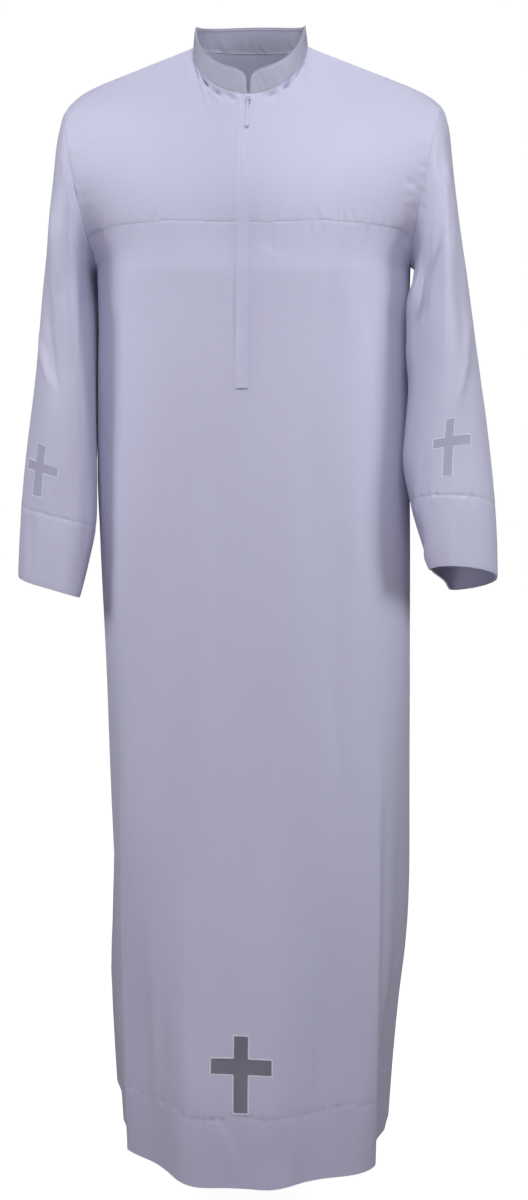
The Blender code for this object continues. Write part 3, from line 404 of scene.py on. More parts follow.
def collarGrid():
    halves = {}
    up = np.array((0.0, 0.0, 1.0))
    for side in (1, -1):
        front = frontShares[frontShares <= neck["share"] + 1e-9] / neck["share"]
        back = backShares[backShares <= neck["share"] + 1e-9] / neck["share"]
        columns = []
        for turns, inFront in ((front, True), (back[:-1][::-1], False)):
            foot = neckline(side, turns, inFront)
            inward = -foot * (1, 1, 0)
            inward /= np.linalg.norm(inward, axis=1, keepdims=True)
            height = collarHeight(turns, inFront, np.abs(foot[:, 0]))
            rise = height[:, None] * up + inward * collarCut["lean"]
            part = foot[None] + collarSteps[:, None, None] * rise[None]
            if inFront:
                near = np.clip(1 - np.abs(foot[:, 0]) / collarCut["gapReach"], 0, 1)[None]
                opened = np.minimum(collarSteps * collarCut["gapRise"], 1)[:, None]
                part[:, :, 0] += side * collarCut["gapHalf"] * near * opened
            columns.append(part)
        halves[side] = np.concatenate(columns, axis=1)
    points = np.concatenate([halves[-1][:, ::-1], halves[1]], axis=1)
    ids = idsOf(points)
    ids[:, -1] = ids[:, 0]
    return {"points": points, "ids": ids, "middle": halves[1].shape[1]}


def gridFaces(grid):
    rows, columns = grid["ids"].shape
    r, c = np.meshgrid(np.arange(rows - 1), np.arange(columns - 1), indexing="ij")
    mask = np.ones(r.shape, bool)
    if "middle" in grid:
        mask[:, grid["middle"] - 1] = False
    return r, c, mask


def cornerLists(r, c):
    return np.stack([r, r + 1, r + 1, r], -1), np.stack([c, c, c + 1, c + 1], -1)


def shareNormals(grids):
    places, normals = [], []
    for grid in grids:
        r, c, mask = gridFaces(grid)
        rr, cc = cornerLists(r[mask], c[mask])
        corner = grid["points"][rr, cc]
        direction = np.cross(corner[:, 2] - corner[:, 0], corner[:, 3] - corner[:, 1])
        direction /= np.maximum(np.linalg.norm(direction, axis=1, keepdims=True), 1e-12)
        places.append(corner.reshape(-1, 3))
        normals.append(np.repeat(direction, 4, axis=0))
    keys, index = np.unique(np.round(np.concatenate(places), 6), axis=0, return_inverse=True)
    sums = np.zeros_like(keys)
    np.add.at(sums, index.ravel(), np.concatenate(normals))
    sums /= np.maximum(np.linalg.norm(sums, axis=1, keepdims=True), 1e-12)
    lookup = {tuple(key): value for key, value in zip(keys, sums)}
    for grid in grids:
        flat = np.round(grid["points"].reshape(-1, 3), 6)
        grid["normals"] = np.array([lookup[tuple(key)] for key in flat]).reshape(grid["points"].shape)


def measureGrid(grid):
    points = grid["points"]
    across = np.linalg.norm(np.diff(points, axis=1), axis=2)
    down = np.linalg.norm(np.diff(points, axis=0), axis=2)
    grid["u"] = np.concatenate([np.zeros((len(points), 1)), np.cumsum(across, 1)], 1)
    grid["v"] = np.concatenate([np.zeros((1, points.shape[1])), np.cumsum(down, 0)], 0)
    grid["push"] = np.zeros(points.shape[:2])
    if "middle" in grid:
        grid["u"] = grid["u"] - grid["u"][:, grid["middle"]][:, None]


# Creases, puckers and soft waves, all as pushes along the cloth's own normals

waves = {"shares": (1.0, 0.62, 0.37), "calm": 1.6, "mottleWaves": 5, "mottleCalm": 3}
crease = {"endFade": 3.2, "least": 0.85, "uneven": 0.3, "unevenLength": 0.8, "firstSeed": 40,
          "besideAt": 1.8, "besideWidth": 1.5}
foldEdge = {"beside": 0.55, "besideAt": 3.0, "besideWidth": 2.0}
puckerDraw = {"shift": (-0.4, 0.4), "width": (0.18, 0.36), "reach": (0.35, 1.1), "depth": (0.25, 1.0),
              "slant": (-0.5, 0.5), "lean": (0.4, 1.0), "cutOff": 3.5, "roundness": 1.3, "beside": 0.5,
              "besideAt": 1.3}


def wander(value, length, seed):
    phases = np.random.default_rng(seed).uniform(0, 2 * math.pi, 3)
    return sum(np.sin(value / (length * share) * 2 * math.pi + phase) * share
               for share, phase in zip(waves["shares"], phases)) / waves["calm"]


def mottle(u, v, lengthU, lengthV, seed):
    draw = np.random.default_rng(seed)
    total = np.zeros(np.broadcast(u, v).shape)
    for _ in range(waves["mottleWaves"]):
        turnU = draw.uniform(0.5, 1.5) * draw.choice((-1, 1)) / lengthU
        turnV = draw.uniform(0.3, 1.3) / lengthV
        total += np.sin(2 * math.pi * (u * turnU + v * turnV) + draw.uniform(0, 2 * math.pi))
    return total / waves["mottleCalm"]


def creaseField(x, z, rows):
    push = np.zeros(x.shape)
    for number, (points, width, depth, lean) in enumerate(rows):
        path = np.array(points)
        lengths = np.linalg.norm(np.diff(path, axis=0), axis=1)
        nearest = np.full(x.shape, np.inf)
        share, signed = np.zeros(x.shape), np.zeros(x.shape)
        start = 0.0
        for a, b, length in zip(path, path[1:], lengths):
            way = (b - a) / length
            t = np.clip((x - a[0]) * way[0] + (z - a[1]) * way[1], 0, length)
            dx, dz = x - a[0] - way[0] * t, z - a[1] - way[1] * t
            apart = np.hypot(dx, dz)
            closer = apart < nearest
            nearest = np.where(closer, apart, nearest)
            share = np.where(closer, (start + t) / lengths.sum(), share)
            signed = np.where(closer, np.sign(way[0] * dz - way[1] * dx) * apart, signed)
            start += length
        ends = smooth(np.minimum(share, 1 - share) * crease["endFade"])
        uneven = crease["uneven"] * wander(share, crease["unevenLength"], crease["firstSeed"] + number)
        wide = width * (crease["least"] + uneven)
        beside = (signed - crease["besideAt"] * wide) / (crease["besideWidth"] * wide)
        push += depth * ends * (np.exp(-(signed / wide) ** 2) - lean * np.exp(-beside ** 2))
    return push


def foldEdgeField(x, z, rows):
    push = np.zeros(x.shape)
    for points, outward, height, slope, drop, start, full in rows:
        path = np.array(points)
        out = (x - np.interp(-z, -path[:, 1], path[:, 0])) * outward
        inside = np.exp(np.minimum(out, 0) / slope)
        beside = (out - foldEdge["besideAt"] * drop) / (foldEdge["besideWidth"] * drop)
        beyond = np.exp(-(np.maximum(out, 0) / drop) ** 2) - foldEdge["beside"] * np.exp(-beside ** 2)
        push += height * np.where(out < 0, inside, beyond) * smooth((start - z) / (start - full))
    return push


def puckers(along, away, plan, seed):
    draw = np.random.default_rng(seed)
    low, high = along.min(), along.max()
    push = np.zeros(along.shape)
    near = np.abs(away) < plan["reach"] * puckerDraw["cutOff"]
    a, w = along[near], away[near]
    total = np.zeros(a.shape)
    for number in range(int((high - low) / plan["spacing"])):
        place = low + plan["spacing"] * (number + 0.5 + draw.uniform(*puckerDraw["shift"]))
        wide = plan["spacing"] * draw.uniform(*puckerDraw["width"])
        reach = plan["reach"] * draw.uniform(*puckerDraw["reach"])
        depth = plan["depth"] * draw.uniform(*puckerDraw["depth"])
        slant = draw.uniform(*puckerDraw["slant"])
        lean = draw.uniform(*puckerDraw["lean"], 2)
        distance = np.abs(w) / reach
        # From a seam a pucker swells and dies away, and on a stitch line it is deepest on the line
        fromSeam = plan.get("fromSeam")
        fade = distance * np.exp(1 - distance) if fromSeam else np.exp(-distance ** puckerDraw["roundness"])
        fade = fade * np.where(w > 0, lean[0], lean[1])
        offset = (a - place - slant * w) / wide
        beside = puckerDraw["beside"] * np.exp(-(offset - puckerDraw["besideAt"]) ** 2)
        total += depth * fade * (np.exp(-offset**2) - beside)
    push[near] = total
    return push


def groove(away, width, depth):
    return -depth * np.exp(-(away / width) ** 2)


# A seam's groove: width, depth
seam = (0.0016, 0.0005)
yokeSoft = {"rounds": 110, "pull": 0.8, "rowsBelow": 6, "sideFade": 0.12, "zipHalf": 0.02, "zipFade": 0.04,
            "topFade": 0.05, "footFade": 0.08, "chestZ": -0.262, "chestReach": 0.06, "chestHold": 1.3}
hemPuckers = {"spacing": 0.011, "reach": 0.008, "depth": -0.005}
hemLine = {"width": 0.0018, "depth": 0.0007, "wobble": 0.0032, "wobbleLength": 0.13, "shiver": 0.0012,
           "shiverLength": 0.021}
yokePuckers = {"spacing": 0.014, "reach": 0.007, "depth": -0.0016, "fromSeam": True}
neckPuckers = {"spacing": 0.013, "reach": 0.013, "depth": -0.0026, "fromSeam": True}
neckRoll = {"away": 0.0085, "width": 0.0036, "depth": 0.005, "least": 0.7, "uneven": 0.6, "length": 0.03}
armholePuckers = {"spacing": 0.015, "reach": 0.007, "depth": -0.0018, "fromSeam": True}
creaseGain = {"front": 1.1, "back": 1.5, "sleeve": 1.5}
# The sides under the arms hang flatter: how much, and from where to where
flatSide = {"flat": 0.85, "x": 0.165, "fadeX": 0.02, "footZ": -0.6, "footFade": 0.08, "topZ": -0.16,
            "topFade": 0.05}
softWaves = {"depth": 0.0014, "across": 0.13, "down": 0.6, "z": -0.1, "fade": 0.4}
edgeFades = {"side": 0.018, "hemSide": 0.01, "zip": 0.012, "fly": 0.01}
seeds = {True: {"waves": 3, "hem": 11, "armhole": 13}, False: {"waves": 4, "hem": 12, "armhole": 14},
         "yoke": 15, "neck": 16, "roll": 17, "collar": 32}
sleeveSeeds = {"waves": 22, "cuff": 23, "armhole": 25}
sleeveWaves = {"depth": 0.001, "across": 0.12, "down": 0.3, "fade": 0.05, "onCuff": 0.5, "cuffFade": 0.02}
innerSide = {"x": 0.219, "fade": 0.012, "turn": 2, "flat": 0.9, "flatSeams": 0.8}
facingFade = {"sharp": 2.5, "shift": 0.1, "backRise": 0.012}
cuffLine = {"wobble": 0.0008, "length": 0.06, "seed": 21}
cuffEdge = {"length": 0.005, "depth": 0.0006, "underarm": 0.07}
collarPuckers = {"spacing": 0.012, "reach": 0.008, "depth": -0.0018, "fromSeam": True}
collarStitch = {"z": 0.003, "width": 0.001, "depth": 0.0005}
collarWaves = {"depth": 0.00035, "across": 0.05, "down": 0.06, "fade": 0.004, "seed": 31}

# Pressed fold edges: points as (x, z), which way the cloth drops, height, widths of slope and drop,
# z of start and full
skirtEdges = (
    (((-0.164, -0.9), (-0.1643, -1.095), (-0.161, -1.24), (-0.1575, -1.41)), -1, 0.0048, 0.022, 0.004,
     -0.8, -1.08),
    (((0.17, -0.9), (0.1693, -1.104), (0.167, -1.25), (0.1635, -1.41)), 1, 0.0048, 0.022, 0.004,
     -0.8, -1.08),
)
leftSleeveEdges = (
    (((0.24, -0.12), (0.2436, -0.187), (0.2433, -0.317), (0.2399, -0.374), (0.2369, -0.43),
      (0.2307, -0.475), (0.2289, -0.525), (0.2276, -0.64)), -1, 0.0048, 0.016, 0.0042, -0.105, -0.2),
)
rightSleeveEdges = (
    (((-0.231, -0.16), (-0.2271, -0.2), (-0.2194, -0.269), (-0.2169, -0.339), (-0.2152, -0.409),
      (-0.2072, -0.45), (-0.2031, -0.484), (-0.1988, -0.547)), 1, 0.0036, 0.02, 0.006, -0.14, -0.24),
)
cuffPuckers = {"spacing": 0.0105, "reach": 0.008, "depth": -0.0028}

# Columns: points as (x, z), half width, how far it stands out, how much the ground beside it gives
# the other way
frontCreases = (
    (((-0.018, -0.205), (-0.015, -0.29), (-0.013, -0.385)), 0.0045, 0.001, 0.4),
    (((0.0085, -0.231), (0.03, -0.24), (0.056, -0.248)), 0.007, 0.0006, 0.6),
    (((0.001, -0.405), (0.003, -0.52), (0.0, -0.7)), 0.007, 0.0009, 0.3),
    (((-0.14, -0.15), (-0.105, -0.235), (-0.08, -0.36)), 0.015, -0.0018, 0.4),
    (((0.15, -0.125), (0.115, -0.215), (0.085, -0.36)), 0.016, -0.0018, 0.4),
    (((0.2163, -0.13), (0.206, -0.15), (0.19, -0.162)), 0.006, -0.001, 0.6),
    (((0.2143, -0.162), (0.2, -0.176), (0.185, -0.18)), 0.006, 0.0008, 0.5),
    (((-0.185, -0.084), (-0.1978, -0.086), (-0.2103, -0.0908), (-0.2175, -0.1102), (-0.2198, -0.1272)),
     0.0042, -0.002, 0.7),
    (((-0.06, -0.42), (-0.052, -0.62), (-0.066, -0.9)), 0.018, 0.0022, 0.3),
    (((0.055, -0.38), (0.062, -0.6), (0.05, -0.84)), 0.02, 0.0024, 0.3),
    (((-0.115, -0.52), (-0.122, -0.76), (-0.11, -1.01)), 0.017, -0.0028, 0.4),
    (((0.118, -0.48), (0.112, -0.74), (0.124, -1.0)), 0.017, -0.0026, 0.4),
    (((0.01, -0.7), (0.018, -0.9), (0.008, -1.15)), 0.017, -0.0018, 0.3),
    (((-0.0694, -1.0), (-0.07, -1.15), (-0.072, -1.33)), 0.0095, 0.0028, 0.5),
    (((-0.116, -1.04), (-0.117, -1.2), (-0.112, -1.39)), 0.011, 0.0022, 0.5),
    (((0.086, -1.06), (0.0863, -1.18), (0.089, -1.33)), 0.01, 0.0026, 0.5),
    (((0.1256, -1.13), (0.124, -1.26), (0.128, -1.4)), 0.01, 0.002, 0.4),
    (((-0.0139, -1.1), (-0.016, -1.2)), 0.012, -0.0014, 0.3),
    (((-0.03, -1.326), (-0.012, -1.372), (-0.01, -1.418)), 0.01, 0.0018, 0.4),
    (((0.06, -1.33), (0.05, -1.37), (0.056, -1.418)), 0.012, -0.0018, 0.4),
)
backCreases = (
    (((-0.15, -0.12), (-0.105, -0.2), (-0.07, -0.33)), 0.014, -0.0026, 0.5),
    (((0.148, -0.13), (0.112, -0.23), (0.086, -0.35)), 0.014, -0.0026, 0.5),
    (((-0.05, -0.06), (0.004, -0.078), (0.056, -0.064)), 0.012, -0.0016, 0.5),
    (((-0.02, -0.33), (-0.028, -0.56), (-0.014, -0.82)), 0.019, 0.003, 0.4),
    (((0.07, -0.42), (0.064, -0.7), (0.078, -1.0)), 0.019, -0.003, 0.4),
    (((-0.095, -0.48), (-0.088, -0.76), (-0.1, -1.02)), 0.018, 0.0026, 0.4),
    (((0.13, -0.56), (0.138, -0.8), (0.124, -1.06)), 0.017, 0.0024, 0.4),
    (((-0.15, -0.62), (-0.14, -0.86), (-0.156, -1.1)), 0.016, -0.0026, 0.4),
    (((0.02, -0.96), (0.028, -1.15), (0.018, -1.39)), 0.014, 0.003, 0.4),
    (((-0.066, -1.06), (-0.072, -1.24), (-0.064, -1.41)), 0.013, -0.0028, 0.4),
    (((0.1, -1.1), (0.104, -1.25), (0.096, -1.41)), 0.013, 0.0024, 0.4),
)
rightSleeveFront = (
    (((-0.2184, -0.1664), (-0.2076, -0.2082), (-0.203, -0.2657)), 0.005, 0.0018, 0.6),
    (((-0.202, -0.2464), (-0.202, -0.3), (-0.204, -0.36)), 0.005, -0.0024, 0.4),
    (((-0.232, -0.11), (-0.224, -0.15), (-0.221, -0.205)), 0.006, 0.0018, 0.5),
    (((-0.244, -0.16), (-0.248, -0.24), (-0.242, -0.33)), 0.0085, 0.0024, 0.5),
    (((-0.26, -0.29), (-0.25, -0.36), (-0.243, -0.43)), 0.0075, -0.0022, 0.5),
    (((-0.276, -0.33), (-0.26, -0.385), (-0.238, -0.42)), 0.006, 0.0016, 0.5),
    (((-0.256, -0.52), (-0.252, -0.6), (-0.256, -0.665)), 0.009, 0.0016, 0.4),
    (((-0.286, -0.56), (-0.284, -0.61), (-0.287, -0.66)), 0.008, -0.0014, 0.4),
)
leftSleeveFront = (
    (((0.24, -0.14), (0.2256, -0.2333), (0.2133, -0.2906), (0.203, -0.3458)), 0.006, 0.0024, 0.7),
    (((0.212, -0.26), (0.2043, -0.2934), (0.2051, -0.3556)), 0.006, -0.0022, 0.4),
    (((0.2336, -0.105), (0.237, -0.135), (0.245, -0.165)), 0.0045, -0.0018, 0.5),
    (((0.262, -0.17), (0.264, -0.27), (0.27, -0.37)), 0.01, -0.0024, 0.4),
    (((0.278, -0.3), (0.27, -0.38), (0.256, -0.44)), 0.0075, 0.0016, 0.5),
    (((0.256, -0.56), (0.254, -0.61), (0.256, -0.645)), 0.0085, 0.0016, 0.4),
)
sleeveBack = (
    (((0.25, -0.14), (0.242, -0.24), (0.246, -0.35)), 0.009, -0.0028, 0.5),
    (((0.27, -0.26), (0.256, -0.33), (0.242, -0.39)), 0.0075, 0.0024, 0.5),
    (((0.276, -0.33), (0.262, -0.39), (0.244, -0.43)), 0.0075, -0.0026, 0.5),
    (((0.266, -0.43), (0.26, -0.51), (0.264, -0.6)), 0.01, 0.0022, 0.4),
    (((0.286, -0.5), (0.28, -0.57), (0.284, -0.64)), 0.0085, -0.0018, 0.4),
)


def hemWobble(u):
    broad = hemLine["wobble"] * wander(u, hemLine["wobbleLength"], 7)
    return broad + hemLine["shiver"] * wander(u, hemLine["shiverLength"], 8)


def cuffWobble(u, side):
    return cuffLine["wobble"] * wander(u, cuffLine["length"], cuffLine["seed"] + side)


def pushBody(grid, inFront):
    x, z = grid["points"][..., 0], grid["points"][..., 2]
    u, v = grid["u"], grid["v"]
    ownSeeds = seeds[inFront]
    upper = np.arange(len(z))[:, None] < (len(frontLevels[1]) if inFront else len(backLevels))
    fromSide = np.minimum(u - u[:, :1], u[:, -1:] - u)
    inside = smooth(fromSide / edgeFades["side"])
    flat = flatSide["flat"] * smooth((np.abs(x) - flatSide["x"]) / flatSide["fadeX"])
    flat = flat * smooth((z - flatSide["footZ"]) / flatSide["footFade"])
    flat = flat * smooth((flatSide["topZ"] - z) / flatSide["topFade"])
    if inFront:
        push = creaseField(x, z, frontCreases) * creaseGain["front"] + foldEdgeField(x, z, skirtEdges)
    else:
        push = creaseField(x, z, backCreases) * creaseGain["back"]
    soft = softWaves["depth"] * mottle(u, z, softWaves["across"], softWaves["down"], ownSeeds["waves"])
    push = (push + soft * smooth((softWaves["z"] - z) / softWaves["fade"])) * inside * (1 - flat)
    away = z - skirt["stitchZ"] + hemWobble(u)
    hem = puckers(u, np.where(upper, 1.0, away), hemPuckers, ownSeeds["hem"])
    push = push + hem * smooth(fromSide / edgeFades["hemSide"])
    push = push + groove(away, hemLine["width"], hemLine["depth"])
    push = push + np.where(upper, 0, groove(fromSide, *seam))
    sideRun = np.where(u < 0, v[:, :1], v[:, -1:])
    armAway = np.where(upper, fromSide, 1.0)
    push = push + puckers(sideRun * np.sign(u), armAway, armholePuckers, ownSeeds["armhole"])
    onShoulder = np.abs(u[0]) > np.abs(u[0, 0]) * neck["share"]
    push = push + groove(armAway, *seam) + np.where(onShoulder, groove(v, *seam), 0)
    if inFront:
        offZip = np.abs(x) - edgeFades["zip"]
        length = neckRoll["length"]
        uneven = neckRoll["uneven"] * mottle(u, v, length, length, seeds["roll"])
        rollDepth = neckRoll["depth"] * (neckRoll["least"] + uneven) * smooth(offZip / edgeFades["zip"])
        roll = groove(v - neckRoll["away"], neckRoll["width"], rollDepth)
        push = push + np.where(onShoulder, 0, puckers(u, v, neckPuckers, seeds["neck"]) + roll)
        yokeAway = v - v[yokeRow]
        yoke = puckers(x, -yokeAway, yokePuckers, seeds["yoke"]) * smooth(offZip / edgeFades["fly"])
        push = push + yoke * inside + groove(yokeAway, *seam)
    grid["push"] = push


def pushSleeve(grid, side):
    x, z = np.abs(grid["points"][..., 0]), grid["points"][..., 2]
    u, v = grid["u"], grid["v"]
    facing = grid["normals"][..., 1] * facingFade["sharp"]
    frontRows = leftSleeveFront if side > 0 else rightSleeveFront
    edges = leftSleeveEdges if side > 0 else rightSleeveEdges
    front = creaseField(side * x, z, frontRows) + foldEdgeField(side * x, z, edges) / creaseGain["sleeve"]
    front = front * smooth(facingFade["shift"] - facing)
    back = creaseField(x, z + (facingFade["backRise"] if side > 0 else 0.0), sleeveBack)
    back = back * smooth(facingFade["shift"] + facing)
    stitchRun = v[grid["stitchRow"]]
    away = stitchRun - v + cuffWobble(u, side)
    onCuff = 1 - sleeveWaves["onCuff"] * smooth((v - stitchRun) / sleeveWaves["cuffFade"])
    soft = mottle(u, z, sleeveWaves["across"], sleeveWaves["down"], sleeveSeeds["waves"] + side)
    soft = sleeveWaves["depth"] * soft * smooth(v / sleeveWaves["fade"]) * onCuff
    push = (front + back) * creaseGain["sleeve"] + soft
    towardsBody = smooth(-grid["normals"][..., 0] * side * innerSide["turn"])
    towardsBody = towardsBody * smooth((innerSide["x"] - x) / innerSide["fade"])
    seams = puckers(u, away, cuffPuckers, sleeveSeeds["cuff"] + side)
    seams = seams + puckers(u, v, armholePuckers, sleeveSeeds["armhole"] + side)
    seams = seams * (1 - innerSide["flatSeams"] * towardsBody)
    push = push * (1 - innerSide["flat"] * towardsBody) + seams
    underarm = np.abs(grid["angles"] - 180.0)[None] * math.radians(1) * cuffEdge["underarm"]
    push = push + groove(away, hemLine["width"], hemLine["depth"])
    push = push + groove(v, *seam) + groove(underarm, *seam)
    edgeRoll = smooth((v - v[-1:] + cuffEdge["length"]) / cuffEdge["length"])
    grid["push"] = push - cuffEdge["depth"] * edgeRoll


def pushCollar(grid):
    u, v = grid["u"], grid["v"]
    fromFoot = v[-1:] - v
    soft = mottle(u, v, collarWaves["across"], collarWaves["down"], collarWaves["seed"])
    push = soft * collarWaves["depth"] * smooth(v / collarWaves["fade"])
    push = push * smooth(fromFoot / collarWaves["fade"])
    push = push + groove(v - collarStitch["z"], collarStitch["width"], collarStitch["depth"])
    grid["push"] = push + puckers(u, fromFoot, collarPuckers, seeds["collar"]) + groove(fromFoot, *seam)


def softenUpper(grid, levels):
    # Kinks under the neck points and at the chest are ironed out, away from the seams and the zip
    points = grid["points"]
    run = np.concatenate([np.zeros((1, points.shape[1])),
                          np.cumsum(np.linalg.norm(np.diff(points, axis=0), axis=2), axis=0)])
    last = levels + yokeSoft["rowsBelow"]
    share = np.linspace(-1, 1, points.shape[1])[None]
    inner = smooth((1 - np.abs(share)) / yokeSoft["sideFade"])
    offZip = smooth((np.abs(points[..., 0]) - yokeSoft["zipHalf"]) / yokeSoft["zipFade"])
    across = smooth(run / yokeSoft["topFade"]) * smooth((run[last][None] - run) / yokeSoft["footFade"])
    across = across * inner * offZip
    offChest = np.abs(points[..., 2] - yokeSoft["chestZ"]) / yokeSoft["chestReach"]
    down = smooth(yokeSoft["chestHold"] - offChest) * inner
    for _ in range(yokeSoft["rounds"]):
        depth = points[..., 1]
        beside = (np.roll(depth, 1, axis=1) + np.roll(depth, -1, axis=1)) / 2
        beside[:, [0, -1]] = depth[:, [0, -1]]
        depth += (beside - depth) * across * yokeSoft["pull"]
        flat = points[..., :2]
        between = flat.copy()
        between[1:-1] = (flat[:-2] + flat[2:]) / 2
        flat += (between - flat) * down[..., None] * yokeSoft["pull"]
    return grid


def layer(grid, isHem):
    grid["inner"] = np.broadcast_to(np.where(isHem, cloth["hemInner"], cloth["inner"]), grid["push"].shape)
    grid["outer"] = np.full(grid["push"].shape, cloth["outer"])


front = softenUpper(bodyGrid(True), len(frontLevels[1]))
back = softenUpper(bodyGrid(False), len(backLevels))
sleeves = {1: sleeveGrid(1), -1: sleeveGrid(-1)}
collar = collarGrid()
allGrids = [front, back, sleeves[1], sleeves[-1], collar]
for grid in allGrids:
    measureGrid(grid)
shareNormals(allGrids)
hemTop = skirt["stitchZ"] - cloth["hemStep"]
for grid, inFront in ((front, True), (back, False)):
    pushBody(grid, inFront)
    layer(grid, grid["points"][..., 2] < hemTop)
for side, grid in sleeves.items():
    pushSleeve(grid, side)
    layer(grid, np.arange(len(grid["heights"]))[:, None] > grid["stitchRow"])
pushCollar(collar)
collar["inner"] = collar["outer"] = np.full(collar["push"].shape, collarCut["half"])
print("grids are worked out")


# Materials

# organza is painted shade: near black for the shade inside the skirt seen through the sheer crosses.
# organzaPale is painted light: the same organza, paler where light comes through the sleeves.
colours = {
    "cloth": (0.635, 0.63, 0.8), "clothShade": (0.56, 0.545, 0.735), "organza": (0.15, 0.135, 0.18),
    "organzaPale": (0.5, 0.485, 0.65), "satin": (0.89, 0.885, 1.0), "thread": (0.95, 0.945, 1.0),
    "tape": (0.6, 0.595, 0.76), "enamel": (0.4, 0.395, 0.54),
}


def socket(group, name, kind, way, value=None):
    made = group.interface.new_socket(name=name, in_out=way, socket_type=kind)
    if value is not None:
        made.default_value = value
    return made


def mathNode(tree, operation, first, second=None):
    node = tree.nodes.new("ShaderNodeMath")
    node.operation = operation
    for slot, value in enumerate((first, second)):
        if value is None:
            continue
        if isinstance(value, (int, float)):
            node.inputs[slot].default_value = value
        else:
            tree.links.new(value, node.inputs[slot])
    return node.outputs[0]


# How the surface is textured: the weave and the marks of handling, and how deep each finish takes them
texture = {"pitch": 0.00045, "slub": 0.3, "slubStretch": (60.0, 900.0, 1.0), "broad": 3.0, "fine": 26.0,
           "stretch": (1.0, 1.0, 0.35), "toneDetail": 3.0, "rumpleDetail": 2.0, "roughSpan": 0.05,
           "rumpleDepth": 0.002, "weaveDepth": 0.3}


def stretched(group, source, scale):
    stretch = group.nodes.new("ShaderNodeMapping")
    stretch.inputs["Scale"].default_value = scale
    group.links.new(source, stretch.inputs["Vector"])
    return stretch.outputs[0]


def weaveGroup():
    group = bpy.data.node_groups.new("weave", "ShaderNodeTree")
    socket(group, "Pitch", "NodeSocketFloat", "INPUT", texture["pitch"])
    socket(group, "Slub", "NodeSocketFloat", "INPUT", texture["slub"])
    socket(group, "Height", "NodeSocketFloat", "OUTPUT")
    start, end = group.nodes.new("NodeGroupInput"), group.nodes.new("NodeGroupOutput")
    uv = group.nodes.new("ShaderNodeUVMap")
    uv.uv_map = "cut"
    split = group.nodes.new("ShaderNodeSeparateXYZ")
    group.links.new(uv.outputs["UV"], split.inputs[0])
    turns = []
    for axis in range(2):
        scaled = mathNode(group, "DIVIDE", split.outputs[axis], start.outputs["Pitch"])
        turns.append(mathNode(group, "SINE", mathNode(group, "MULTIPLY", scaled, math.pi)))
    crossing = mathNode(group, "ABSOLUTE", mathNode(group, "MULTIPLY", turns[0], turns[1]))
    slub = group.nodes.new("ShaderNodeTexNoise")
    slub.inputs["Scale"].default_value = 1.0
    group.links.new(stretched(group, uv.outputs["UV"], texture["slubStretch"]), slub.inputs["Vector"])
    uneven = mathNode(group, "MULTIPLY", slub.outputs["Fac"], start.outputs["Slub"])
    group.links.new(mathNode(group, "ADD", crossing, uneven), end.inputs["Height"])
    return group


def handlingGroup():
    group = bpy.data.node_groups.new("handling", "ShaderNodeTree")
    socket(group, "Broad", "NodeSocketFloat", "INPUT", texture["broad"])
    socket(group, "Fine", "NodeSocketFloat", "INPUT", texture["fine"])
    socket(group, "Tone", "NodeSocketFloat", "OUTPUT")
    socket(group, "Rumple", "NodeSocketFloat", "OUTPUT")
    start, end = group.nodes.new("NodeGroupInput"), group.nodes.new("NodeGroupOutput")
    place = stretched(group, group.nodes.new("ShaderNodeTexCoord").outputs["Object"], texture["stretch"])
    for name, output, detail in (("Broad", "Tone", texture["toneDetail"]),
                                 ("Fine", "Rumple", texture["rumpleDetail"])):
        noise = group.nodes.new("ShaderNodeTexNoise")
        noise.inputs["Detail"].default_value = detail
        group.links.new(place, noise.inputs["Vector"])
        group.links.new(start.outputs[name], noise.inputs["Scale"])
        group.links.new(noise.outputs["Fac"], end.inputs[output])
    return group


weave = weaveGroup()
handling = handlingGroup()


def groupNode(tree, group, inputs):
    node = tree.nodes.new("ShaderNodeGroup")
    node.node_tree = group
    for name, value in inputs.items():
        node.inputs[name].default_value = value
    return node.outputs


def bumpNode(tree, height, strength, distance, below=None):
    bump = tree.nodes.new("ShaderNodeBump")
    bump.inputs["Strength"].default_value = strength
    bump.inputs["Distance"].default_value = distance
    tree.links.new(height, bump.inputs["Height"])
    if below is not None:
        tree.links.new(below, bump.inputs["Normal"])
    return bump.outputs["Normal"]


def finish(name, plan):
    made = bpy.data.materials.new(name)
    made.use_nodes = True
    tree = made.node_tree
    shader = tree.nodes["Principled BSDF"]
    for key, value in plan["shader"].items():
        shader.inputs[key].default_value = value
    handled = groupNode(tree, handling, {"Broad": plan["broad"], "Fine": plan["fine"]})
    mix = tree.nodes.new("ShaderNodeMix")
    mix.data_type = "RGBA"
    mix.inputs["A"].default_value = (*plan["colour"], 1)
    mix.inputs["B"].default_value = (*plan["shade"], 1)
    tree.links.new(handled["Tone"], mix.inputs["Factor"])
    tree.links.new(mix.outputs["Result"], shader.inputs["Base Color"])
    rough = tree.nodes.new("ShaderNodeMapRange")
    rough.inputs["To Min"].default_value = plan["rough"] - texture["roughSpan"]
    rough.inputs["To Max"].default_value = plan["rough"] + texture["roughSpan"]
    tree.links.new(handled["Tone"], rough.inputs["Value"])
    tree.links.new(rough.outputs["Result"], shader.inputs["Roughness"])
    normal = bumpNode(tree, handled["Rumple"], plan["rumple"], texture["rumpleDepth"])
    if "pitch" in plan:
        height = groupNode(tree, weave, {"Pitch": plan["pitch"]})["Height"]
        normal = bumpNode(tree, height, plan["weave"], plan["pitch"] * texture["weaveDepth"], normal)
    tree.links.new(normal, shader.inputs["Normal"])
    return made


def shaded(name, share):
    return tuple(value * share for value in colours[name])


